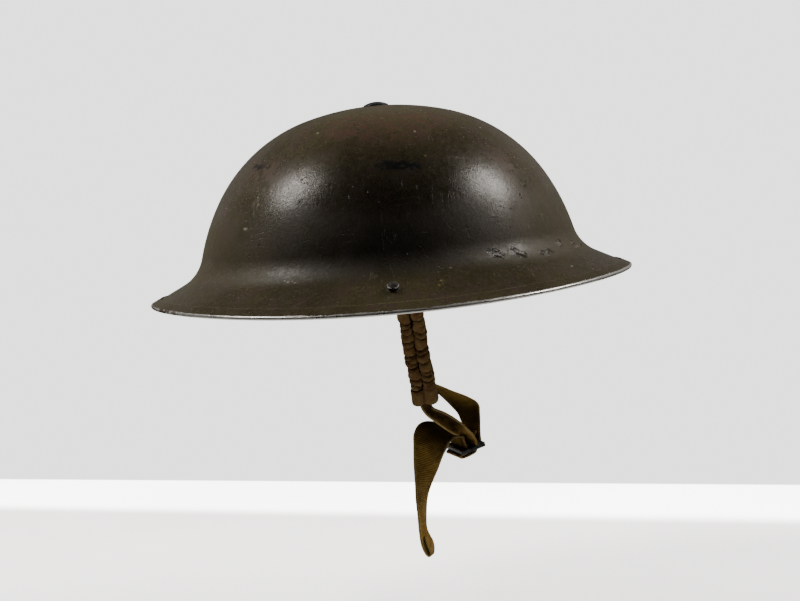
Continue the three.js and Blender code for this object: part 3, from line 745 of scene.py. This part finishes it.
def make_threads(side_name, foot, down, outward, sideways, material, seed):
    """Frayed ends of the canvas at the foot of a pair of sleeves, thin tubes that ride with them."""
    draw = random.Random(seed)
    curve = bpy.data.curves.new("threads", "CURVE")
    curve.dimensions = "3D"
    curve.bevel_depth = THREAD_RADIUS * MM
    curve.bevel_resolution = 2
    for _ in range(THREADS):
        start = foot + sideways * draw.uniform(-2.4, 2.4) + outward * draw.uniform(-1, 2.4) - down * 0.9
        lean = sideways * draw.uniform(-1.4, 1.4) + outward * draw.uniform(-0.2, 1)
        lean = unit(lean + down * draw.uniform(0.1, 1))
        bend = unit(sideways * draw.uniform(-1, 1) + outward * draw.uniform(-1, 1) + down * 0.6)
        long = draw.uniform(0.9, 2.4)
        points = [start, start + lean * long * 0.5, start + lean * long * 0.8 + bend * long * 0.35]
        thread = curve.splines.new("NURBS")
        thread.points.add(len(points) - 1)
        thread.use_endpoint_u = True
        thread.order_u = 3
        for knot, point in zip(thread.points, in_frame(points)):
            knot.co = (*point, 1)
    shaped = linked("shaped", curve)
    mesh = evaluated_mesh(shaped)
    bpy.data.objects.remove(shaped)
    settle(finish_mesh("frayed_threads_" + side_name, mesh), material, "sleeve_canvas")


# Webbing


def buckle_axes(fore, across):
    """Fore, across and up, square to each other."""
    fore = unit(fore)
    up = unit(np.cross(fore, across))
    return np.array([fore, np.cross(up, fore), up])


BUCKLE_FORE, BUCKLE_ACROSS, BUCKLE_UP = buckle_axes(*SHOWN_BUCKLE)

# Rows by their places: outer edge, inner edge, the share of painted shade at the outer edge, middle and inner
# edge, and where the webbing is folded lengthwise, its middle
RIGHT_ABOVE_BUCKLE = [
    ((14.6, -72, -75), (19.2, -71.3, -71.8), (0, 0.6, 1), (16.2, -64.5, -73.7)),
    ((19.9, -60, -81.4), (25.8, -59.3, -76.6), (0, 0.8, 1), (22.6, -52, -79)),
    ((25.8, -47.5, -87.9), (32.4, -47, -82.8), (0, 0.8, 1), (29.2, -40, -85.3)),
    ((31.8, -38.5, -93.2), (37.4, -37, -88.6), (0, 0.3, 0.5), (34.6, -31, -91.2)),
]
FREE_END = [
    ((24.5, -15, -89.5), (36.2, -28, -96.6), (1, 1, 0.7)),
    ((19.5, -20.5, -86.8), (31.2, -31, -95.6), (1, 1, 0.8)),
    ((13.8, -25.5, -85.4), (29.0, -33, -96.9), (0.8, 1, 0.9)),
    ((9.3, -30, -86.5), (26.9, -34, -98.6), (0.6, 1, 0.9)),
    ((6.2, -32.5, -91.5), (25.1, -33.5, -101.8), (0.3, 0.8, 0.9)),
    ((5.4, -34, -98.5), (22.8, -30.5, -105.8), (0, 0.4, 0.8)),
    ((4.7, -35.5, -109), (18.9, -23.5, -115)),
    ((4.4, -37.5, -120.5), (14.4, -21, -124)),
    ((4, -38.7, -131.1), (10.9, -20.3, -132.5)),
    ((4.3, -39, -141.8), (9.2, -20, -142.3)),
    ((4.4, -39, -152.6), (8.6, -20, -152.9)),
    ((5.2, -37.5, -161.3), (11.3, -20.5, -161.4)),
    ((7.6, -33.5, -167.7), (11.6, -23.5, -167.9)),
]
FOLDED_TIP = [
    ((8.7, -32.3, -168.6), (11.3, -24.4, -168.6)),
    ((9.9, -32.6, -167.2), (12.0, -24.0, -166.6)),
    ((8.8, -35.0, -162.2), (11.9, -23.4, -162.0)),
    ((7.6, -35.8, -158.2), (10.9, -24.4, -158.8)),
    ((7.0, -34.0, -155.6), (8.8, -27.5, -156.0)),
]
LEFT_UNDER_CHIN = [
    ((18.5, 57, -71.5), (30.5, 61, -76)),
    ((26, 33, -76.5), (43, 40, -80)),
    ((31.5, 17.5, -81.5), (48.5, 9.5, -81.5)),
    ((35.5, 3.5, -86), (48.2, -9.5, -85.5)),
    ((38, -3.5, -92), (47.3, -16, -94)),
]
# Rows laid out from the buckle: along it, above it, to its side, half-width, sag of the middle, painted shade
RIGHT_THROUGH_BUCKLE = [
    (2.3, 5.6, -3.1, 9.3, 1.9, (0.3, 0.1, 0)),
    (2.1, 1.2, -4.5, 6.9, 0.5, (0.6, 0.2, 0)),
    (2.1, -1.6, -4.2, 6.0, 0.2),
    (1.2, -3.0, -2, 7.8, 0.1),
    (-1.5, -3.6, -0.6, 9),
    (-5.5, -3.8), (-8.6, -3.4), (-9.4, -2.7),
    (-8.4, -2.0, 0, 9.5, 0, (1, 1, 1)),
    (-5.4, -1.9, 0, 9.5, 0, (1, 1, 1)),
    (-3.7, -0.7, 0, 9.5, 0, (1, 1, 0.8)),
    (-3.8, 2.2, 1.1, 10.8, 0, (0.2, 0.3, 0.8)),
    (-4.4, 6.5, 1.4, 11.4, 0, (0, 0.2, 0.6)),
]
LEFT_ROUND_FRONT_BAR = [
    (9.6, 3, 3, 6.5), (9.6, -0.8, 3.6, 6), (9.1, -2.3, 3.6, 6), (7.4, -2.9, 3.6, 6),
    (5.6, -2.3, 3.6, 6), (5.2, -0.6, 3.6, 6), (5.5, 3, 3.3, 6), (7.7, 7.4, 2.8, 6.4),
]


def full_row(outer, middle, inner, painted_shade):
    return np.array([[*point, share] for point, share in zip((outer, middle, inner), painted_shade)])


def placed_row(outer, inner, painted_shade=(0, 0, 0), middle=None):
    return full_row(outer, np.add(outer, inner) / 2 if middle is None else middle, inner, painted_shade)


def buckle_row(along, above, side=0, half=WEB_WIDTH / 2, sag=0, painted_shade=(0, 0, 0)):
    middle = BUCKLE_CENTRE + along * BUCKLE_FORE + above * BUCKLE_UP + side * BUCKLE_ACROSS
    edge = half * BUCKLE_ACROSS
    return full_row(middle + edge, middle - sag * BUCKLE_FORE, middle - edge, painted_shade)


def foot_rows(foot, down, side):
    """The folded end, from inside the gathered hems."""
    rows = []
    for distance, near, low in ((-2.5, 2.2, 0.5), (1.5, 3.2, 1.2)):
        middle = foot + down * distance
        out = np.array([3.0, 0, 0])
        edge = out - np.array([0, side * near * 0.6, 0])
        # The folded end at the sleeves' foot gets painted shade
        rows.append(full_row(middle - edge, middle - out * 0.2 + down * low, middle + edge, (0.6, 0.8, 0.9)))
    return rows


def spline(points, step):
    """Centripetal Catmull-Rom curves through rows of several points, sampled by the middle one's length."""
    rows = np.array(points)
    rows = np.concatenate([2 * rows[:1] - rows[1:2], rows, 2 * rows[-1:] - rows[-2:-1]])
    lengths = np.linalg.norm(np.diff(rows[:, 1, :3], axis=0), axis=1)
    knots = np.concatenate([[0], np.cumsum(np.sqrt(lengths))])
    made = []
    for k in range(1, len(rows) - 2):
        for t in np.linspace(knots[k], knots[k + 1], max(2, int(lengths[k] / step)), endpoint=False):

            def blend(start, end, a, b):
                share = (t - knots[start]) / (knots[end] - knots[start])
                return (1 - share) * a + share * b

            a1, a2, a3 = (blend(n, n + 1, rows[n], rows[n + 1]) for n in (k - 1, k, k + 1))
            made.append(blend(k, k + 1, blend(k - 1, k + 1, a1, a2), blend(k, k + 2, a2, a3)))
    made.append(rows[-2])
    return np.array(made)


def web_object(name, rows):
    """A band of ribbed webbing through rows of outer edge, middle and inner edge."""
    track = spline(rows, WEB_STEP)
    lengths = np.linalg.norm(np.diff(track[:, 1, :3], axis=0), axis=1)
    lengths = np.concatenate([[0], np.cumsum(lengths)])
    across = np.linspace(-1, 1, WEB_COLUMNS)
    bend = (np.sqrt(across ** 2 + WEB_FOLD ** 2) - WEB_FOLD) / (math.sqrt(1 + WEB_FOLD ** 2) - WEB_FOLD)
    shares = np.stack([(bend - across) / 2, 1 - bend, (bend + across) / 2])
    sheet = np.einsum("pc,rpk->rck", shares, track)
    # The fourth value of each point is its share of painted shade
    sheet, shade_share = sheet[:, :, :3], np.clip(sheet[:, :, 3], 0, 1)
    cross_way = np.gradient(sheet, axis=1)
    normal = unit(np.cross(np.gradient(sheet, axis=0), cross_way))
    sideways = unit(cross_way)
    rib = RIB_HEIGHT * (1 - np.abs(np.sin(math.pi * lengths[:, None] / RIB_PITCH)) ** 0.7 * 1.6)
    edge = np.clip((1 - np.abs(across)) * WEB_WIDTH / 2 / 1.3, 0, 1)
    half = WEB_THICK / 2 + rib * edge + 0.06 * (1 - edge)
    lift = normal * half[:, :, None]

    def rounded(column, sign):
        """Three points round an edge, from above at the inner one and from below at the outer one."""
        swell = sign * WEB_THICK / 2 * (0.9 + 0.1 * np.cos(2 * math.pi * lengths / RIB_PITCH))
        out = sideways[:, column] * swell[:, None]
        turns = sign * np.radians([45, 0, -45])
        points = [sheet[:, column] + out * math.cos(a) + lift[:, column] * math.sin(a) for a in turns]
        return np.stack(points, axis=1)

    upper, lower = sheet + lift, sheet - lift
    ring = np.concatenate([upper, rounded(-1, 1), lower[:, ::-1], rounded(0, -1)], axis=1)
    x = np.concatenate([across, [1, 1, 1], across[::-1], [-1, -1, -1], across[:1]]) * WEB_WIDTH / 2
    uv = np.stack(np.meshgrid(lengths, x, indexing="ij"), axis=2)
    shade_share = np.concatenate([shade_share, *[shade_share[:, -1:]] * 3, shade_share[:, ::-1], *[shade_share[:, :1]] * 3], axis=1)
    return grid_object(name, ring, uv, facts={"painted_shade": shade_share})


def make_web(side, side_name, foot, down, material):
    rows = foot_rows(foot, down, side)
    if side < 0:
        rows += [placed_row(*row) for row in RIGHT_ABOVE_BUCKLE]
        rows += [buckle_row(*row) for row in RIGHT_THROUGH_BUCKLE]
        rows += [placed_row(*row) for row in FREE_END + FOLDED_TIP]
    else:
        rows += [placed_row(*row) for row in LEFT_UNDER_CHIN]
        rows += [buckle_row(*row) for row in LEFT_ROUND_FRONT_BAR]
    settle(web_object("webbing_" + side_name, rows), material, "webbing", "chin_web_" + side_name)


def make_buckle(material):
    """The part's buckle with rounded edges, turned about its middle."""
    buckle = own_mesh("slide_buckle", "chin_buckle", 0.7)
    turn = buckle_axes(*SHOWN_BUCKLE).T @ buckle_axes(*PART_BUCKLE)
    middle = in_frame(BUCKLE_CENTRE)
    for vertex in buckle.data.vertices:
        vertex.co = middle + turn @ (np.array(vertex.co) - middle)
    settle(buckle, material, "blackened_steel", "chin_buckle")


def make_plain(name, node, material, slot, bevel):
    """A node that is shown as its own solid with rounded edges."""
    settle(own_mesh(name, node, bevel), material, slot, node)


# Materials: scales per metre and bump heights in metres


def on_marks(mat, where, marks):
    """The strongest of several soft spots on the shell, each by angle, reach and its two radii."""
    return mat.either(*(
        mat.spot(where, tuple(in_frame(shell_point(angle, reach))), (wide * MM, wide * MM, tall * MM))
        for angle, reach, wide, tall in marks))


def paint_layers(mat):
    """Lays khaki brown paint with age, and returns its roughness."""
    mat.lay(PAINT, mat.blots(0.38, 0.62, 14, 3, 0.5))
    red = mat.times(mat.blots(0.42, 0.62, 60, 5, 0.6), mat.blots(0.42, 0.58, 260, 5, 0.7))
    mat.lay(PAINT_RED, red, 0.85)
    mat.lay(PAINT_PALE, mat.blots(0.5, 0.66, 330, 5, 0.7, mat.turned((0.4, 0.8, 0.1))), 0.55)
    mat.lay(PAINT_DEEP, mat.blots(0.52, 0.68, 210, 6, 0.75, mat.turned((0.9, 0.1, 0.5))), 0.6)
    grain = mat.noise(900, 4, 0.7)
    mat.lay(PAINT_DEEP, mat.step(grain, 0.5, 0.75), 0.5)
    mat.lay(PAINT_PALE, mat.step(grain, 0.48, 0.28), 0.45)
    return mat.step(mat.noise(90, 7, 0.75), 0.3, 0.72, 0.22, 0.35)


def scratch_lines(mat):
    """Short thin scratches in four directions: contours of a drawn-out noise, in patches."""
    ways = (((12, 12, 150), (0.5, 0.3, 0.2), 41), ((150, 14, 10), (0.3, 0.9, 0.4), 53),
            ((14, 170, 30), (0.8, 0.1, 1.1), 47), ((120, 20, 20), (1.3, 0.2, 2.0), 60))
    found = []
    for scale, turn, patch in ways:
        contour = mat.apart(mat.noise(1, 2, 0.4, mat.turned(turn, scale=scale)), 0.5)
        line = mat.step(contour, SCRATCH_WIDTH, SCRATCH_WIDTH * 0.3)
        found.append(mat.times(line, mat.blots(0.56, 0.67, patch, 4, 0.6, mat.turned(turn))))
    return mat.either(*found)


def paint_material():
    """The shell's paint with its rust, smudges, dust, scratches, specks and chips."""
    mat = Shade("khaki_paint", PAINT_DEEP)
    rough = paint_layers(mat)
    place, outside = mat.place(), mat.fact("outside")
    drift = mat.node("TexNoise", {"Vector": place, "Scale": 240.0}, output=1)
    drift = mat.vector("SUBTRACT", drift, (0.5, 0.5, 0.5))
    loose = mat.vector("ADD", place, mat.vector("MULTIPLY", drift, MARK_DRIFT))

    rusty = mat.times(on_marks(mat, loose, RUST_AREAS), mat.blots(0.45, 0.56, 190, 8, 0.78))
    mat.lay(RUST, rusty, 0.75)
    mat.lay(RUST, mat.times(mat.blots(0.5, 0.66, 24, 2), mat.blots(0.54, 0.64, 170, 8, 0.8)), 0.7)
    smudge = mat.times(on_marks(mat, loose, SMUDGES), mat.blots(0.32, 0.52, 300, 6, 0.7), outside)
    mat.lay(SMUDGE_BLACK, smudge, 0.9)
    fold = mat.step(mat.apart(mat.fact("reach"), DUST_REACH), 13, 4)
    dust = mat.times(fold, mat.step(mat.noise(60, 5, 0.65), 0.25, 0.6, 0.45, 1.0))
    mat.lay(DUST, dust, 0.4)
    unmarked = on_marks(mat, place, [UNSCRATCHED])
    scratch = mat.times(scratch_lines(mat), mat.less(unmarked))
    mat.lay(PAINT_SCRATCH, scratch, 0.33)

    speck = mat.times(mat.dots(380, 0.2, 0.05, loose), mat.blots(0.42, 0.58, 18, 2))
    mat.lay(PALE_SPECK, speck, 0.6)
    mat.lay(ORANGE_SPECK, mat.dots(420, 0.2, 0.02, mat.turned((0.4, 0.2, 0.9), loose)), 0.4)
    dark = mat.dots(330, 0.26, 0.12, mat.turned((0.9, 0.5, 0.1), loose))
    dark = mat.times(dark, mat.blots(0.5, 0.6, 40, 3))
    mat.lay(SMUDGE_BLACK, dark, 0.6)
    for colour, marks in ((PALE_SPECK, PALE_MARKS), (ORANGE_SPECK, YELLOW_MARKS)):
        mat.lay(colour, mat.times(on_marks(mat, place, marks), outside), 0.8)

    flakes = mat.noise(230, 6, 0.7)
    near = mat.times(mat.step(on_marks(mat, loose, CHIPS), 0.1, 0.4), outside)
    bare = mat.times(near, mat.step(flakes, 0.44, 0.455), 0.6)
    mat.lay(CHIP_GREY, bare)
    chip = mat.times(near, mat.step(mat.apart(flakes, 0.47), 0.034, 0.016))
    mat.lay(CHIP_DEEP, chip)

    mat.emboss(mat.noise(1400, 4, 0.6), 0.00008)
    mat.emboss(mat.noise(420, 3, 0.5), 0.00009)
    mat.emboss(mat.less(scratch), 0.00009)
    mat.emboss(mat.noise(26, 2, 0.4), 0.0007, 0.5)
    mat.emboss(mat.less(mat.either(chip, bare, mat.times(dark, 0.4))), 0.0004)
    dull = mat.either(rusty, smudge, mat.times(dust, 1.5))
    matt = mat.either(chip, smudge)
    whole = mat.less(mat.either(matt, mat.times(dust, 0.8)))
    patchy = mat.step(mat.noise(200, 5, 0.7), 0.3, 0.6, 0.5, 1.0)
    return mat.finish(Roughness=mat.add(rough, mat.times(dull, 0.16), mat.times(chip, 0.35)),
                      Specular_IOR_Level=mat.step(matt, 0.0, 1.0, 0.4, 0.12), Coat_Roughness=0.18,
                      Coat_Weight=mat.times(whole, patchy, 0.26), Coat_Normal=mat.relief)


def rivet_material():
    """Steel with most of its paint rubbed off, brightest round the head's edge, where the bare steel is wear
    and also a painted highlight.
    """
    mat = Shade("rubbed_rivet", CHIP_DEEP)
    edge, ring = mat.fact("edge"), mat.fact("ring")
    patchy = mat.noise(420, 5, 0.65)
    mat.lay(RIVET_GREY, mat.step(patchy, 0.35, 0.65))
    mat.lay(BARE_STEEL, mat.times(edge, mat.blots(0.40, 0.6, 800, 4, 0.6)), 0.7)
    mat.lay(PAINT, ring)
    rough = mat.add(mat.step(patchy, 0.3, 0.7, 0.3, 0.5), mat.times(ring, 0.25))
    metal = mat.times(mat.step(edge, 0.0, 1.0, 0.3, 0.8), mat.less(ring))
    mat.emboss(mat.noise(1500, 4, 0.6), 0.00006)
    return mat.finish(Metallic=metal, Roughness=rough, Specular_IOR_Level=0.4)


def rim_material():
    """Paint that is worn to bare steel along the rim's nose, but for the rear, and less on its underside so
    that it stays darker there as painted shade; a paler line along its lip is partly scuff, partly painted
    highlight.
    """
    mat = Shade("worn_rim", PAINT_DEEP)
    rough = paint_layers(mat)
    nose = mat.fact("nose")
    fine = mat.noise(420, 6, 0.7)
    worn = mat.add(nose, mat.times(mat.noise(70, 6, 0.7), 1.1), mat.times(fine, 0.6))
    forward = mat.axes(mat.place())[0]
    whole = mat.either(mat.step(forward, -0.136, -0.112), mat.blots(0.5, 0.56, 160, 6, 0.7))
    worn = mat.times(mat.step(worn, 1.12, 1.19), whole, mat.step(nose, 0.02, 0.1))
    # A paler line along the lip: partly scuff, partly painted highlight
    lip_scuff_and_highlight = mat.times(mat.add(mat.fact("lip"), mat.noise(110, 6, 0.75)), 0.6)
    lip_scuff_and_highlight = mat.step(mat.add(lip_scuff_and_highlight, mat.times(fine, 0.3)), 0.86, 1.0)
    mat.lay(PAINT_SCRATCH, lip_scuff_and_highlight, 0.6)
    mat.lay(BARE_STEEL, worn)
    mat.emboss(mat.noise(900, 4, 0.6), 0.00012)
    mat.emboss(mat.less(worn), 0.0002, 0.8)
    return mat.finish(Metallic=mat.times(worn, 0.85), Roughness=mat.add(rough, mat.times(worn, 0.03)))


def blackened_material():
    mat = Shade("blackened_steel", BLACKENED)
    patchy = mat.noise(260, 6, 0.65)
    mat.lay(BLACKENED_PALE, mat.step(patchy, 0.3, 0.75))
    mat.lay(BARE_STEEL, mat.blots(0.6, 0.72, 700, 6, 0.75), 0.35)
    mat.lay(RUST, mat.blots(0.6, 0.74, 420, 5, 0.7, mat.turned((0.7, 0, 0.3))), 0.5)
    mat.emboss(mat.noise(1400, 4, 0.6), 0.00009)
    return mat.finish(Metallic=0.45, Roughness=mat.step(patchy, 0.25, 0.8, 0.3, 0.55))


def bare_material():
    mat = Shade("dull_steel", DULL_STEEL)
    patchy = mat.noise(180, 6, 0.65)
    mat.lay(BLACKENED_PALE, mat.step(patchy, 0.35, 0.7))
    mat.lay(RUST, mat.blots(0.52, 0.66, 120, 7, 0.75), 0.7)
    mat.emboss(mat.noise(1100, 5, 0.65), 0.0001)
    return mat.finish(Metallic=0.7, Roughness=mat.step(patchy, 0.25, 0.8, 0.38, 0.62))


def canvas_material():
    mat = Shade("brown_canvas", CANVAS)
    mat.lay(CANVAS_RED, mat.blots(0.35, 0.68, 120, 5, 0.6))
    mat.lay(CANVAS_OLIVE, mat.blots(0.45, 0.7, 210, 5, 0.6, mat.turned((0.5, 0.1, 0.2))))
    waves = {"Vector": mat.node("UVMap", uv_map="uv"), "Scale": 0.62, "Distortion": 0.6, "Detail": 2.0,
             "Detail Scale": 1.5}
    warp, weft = (mat.node("TexWave", waves, output=1, bands_direction=way) for way in "XY")
    weave = mat.times(mat.add(warp, weft), 0.5)
    # Painted shade between the threads of the weave, and by the mesh's crease share, which also holds the
    # hem's dark stitching line
    mat.lay(CANVAS_SHADE, mat.step(weave, 0.75, 0.2), 0.35)
    mat.lay(CANVAS_SHADE, mat.step(mat.fact("crease"), 0.12, 0.62))
    mat.emboss(weave, 0.00012, 0.7)
    mat.emboss(mat.noise(2200, 3, 0.7), 0.0001, 0.6)
    return mat.finish(Roughness=0.92, Specular_IOR_Level=0.06)


def webbing_material(name, ribbed):
    """Webbing with modelled ribs across it and warp threads along it, or plain with waves for ribs."""
    mat = Shade(name, WEBBING)
    mat.lay(WEBBING_DARK, mat.blots(0.35, 0.7, 70, 5, 0.6))
    mat.lay(WEBBING_PALE, mat.blots(0.5, 0.75, 300, 5, 0.7), 0.5)
    if ribbed:
        along, across, _ = mat.axes(mat.node("UVMap", uv_map="uv"))
        rib = mat.apart(mat.math("SINE", mat.times(along, math.pi / RIB_PITCH)))
        # Painted shade in the grooves between the ribs
        mat.lay(WEBBING_SHADE, mat.step(rib, 0.6, 1.0), 0.7)
        # Painted shade from the mesh, where the helmet and a wearer's head would shade the webbing, with a
        # little random variation
        painted_shade = mat.add(mat.fact("painted_shade"), mat.step(mat.noise(90, 5, 0.6), 0.3, 0.7, -0.2, 0.2))
        mat.lay(WEBBING_SHADE, mat.step(painted_shade, 0.0, 1.1), 0.92)
        selvedge = mat.step(mat.apart(across), WEB_WIDTH / 2 - 0.8, WEB_WIDTH / 2 - 0.2)
        mat.lay(WEBBING_PALE, selvedge, 0.35)
        warp = mat.math("SINE", mat.times(across, 2 * math.pi / WARP_PITCH))
        mat.emboss(warp, 0.00006, 0.6)
    else:
        waves = {"Vector": mat.place(), "Scale": 280.0, "Distortion": 0.4}
        waves = mat.node("TexWave", waves, output=1, bands_direction="Z")
        # Painted shade in the troughs of the tab's waves
        mat.lay(WEBBING_SHADE, waves, 0.3)
        mat.emboss(waves, 0.00015, 0.6)
    mat.emboss(mat.noise(2600, 3, 0.7), 0.0001, 0.6)
    return mat.finish(Roughness=0.9, Specular_IOR_Level=0.06)


# Stage


def make_stage():
    """A level pale table whose far edge meets a pale wall colour, as in the photograph."""
    half, z = TABLE_HALF, in_frame((0, 0, FLOOR_LEVEL))[2]
    mesh = bpy.data.meshes.new("table_top")
    mesh.from_pydata([(-half, -half, z), (half, -half, z), (half, half, z), (-half, half, z)], [],
                     [(0, 1, 2, 3)])
    floor = linked("table_top", mesh)
    mat = Shade("pale_table", TABLE_FAR_TONE)
    place, seen = mat.place(), mat.node("LightPath")
    x, y, _ = mat.axes(place)
    line = mat.add(y, mat.times(x, TABLE_EDGE_TURN))
    near = mat.step(mat.vector("LENGTH", place), TABLE_BOUNCE[1], TABLE_BOUNCE[0])
    mat.lay(TABLE_NEAR_TONE, mat.either(seen, near))
    # A painted pool of light: the table glows brighter in a band near its far edge, with a little random
    # unevenness
    glow = mat.times(seen, mat.step(line, *TABLE_PAINTED_LIGHT_BAND, 1.0, TABLE_PAINTED_LIGHT),
                     mat.step(mat.noise(2.2, 3), 0.3, 0.7, 0.9, 1.06))
    mesh.materials.append(mat.finish(Roughness=0.9, Emission_Color=TABLE_GLOW, Emission_Strength=glow))
    beyond = mat.step(line, TABLE_EDGE - TABLE_EDGE_BLUR, TABLE_EDGE + TABLE_EDGE_BLUR)
    table = mat.tree.nodes["Principled BSDF"].outputs[0]
    wall = mat.node("Emission", {"Color": BACKGROUND, "Strength": seen})
    mat.surface("Material Output", beyond, table, wall)


def make_world():
    """Pale to the camera. As light: from overhead, behind and the sides, dark on the camera's side."""
    world = Shade("studio", kind="worlds")
    bpy.context.scene.world = world.data
    x, y, z = world.axes(world.node("TexCoord"))
    aside = world.add(world.apart(x), world.times(y, 0.6))
    glow = world.add(world.step(z, 0.6, 1.0, 0.0, OVERHEAD), world.step(y, 0.0, 0.9, 0.0, WALL_LIGHT),
                     world.step(aside, 0.65, 1.1, 0.0, SIDE_LIGHT))
    light = world.node("Background", {"Color": WORLD_TINT, "Strength": glow})
    seen = world.node("Background", {"Color": BACKGROUND})
    world.surface("World Output", world.node("LightPath"), light, seen)


# Assembly

paint = paint_material()
rubbed = rivet_material()
rim_steel = rim_material()
blackened = blackened_material()
dull_steel = bare_material()
canvas = canvas_material()
webbing = webbing_material("khaki_webbing", True)
tab_webbing = webbing_material("tab_webbing", False)

make_shell(paint)
make_rim(rim_steel)
make_bolt(blackened)
make_plain("crown_nut_steel", "crown_nut", dull_steel, "bare_steel", 0.4)
for side, side_name, seed in ((-1, "right", 11), (1, "left", 23)):
    make_rivet(side, side_name, rubbed)
    make_plain("slotted_lug_" + side_name, "strap_lug_" + side_name, dull_steel, "bare_steel", 0.35)
    make_plain("webbing_tab_" + side_name, "top_tab_" + side_name, tab_webbing, "webbing", 0.35)
    front_foot, down, outward, sideways = make_sleeve(side, side_name, "front", canvas, seed)
    rear_foot = make_sleeve(side, side_name, "rear", canvas, seed + 1)[0]
    foot = (front_foot + rear_foot) / 2
    make_threads(side_name, foot, down, outward, sideways, canvas, seed)
    make_web(side, side_name, foot, down, webbing)
make_buckle(blackened)

make_stage()
make_world()
for light in LIGHTS:
    soft_light(*light)
make_camera()
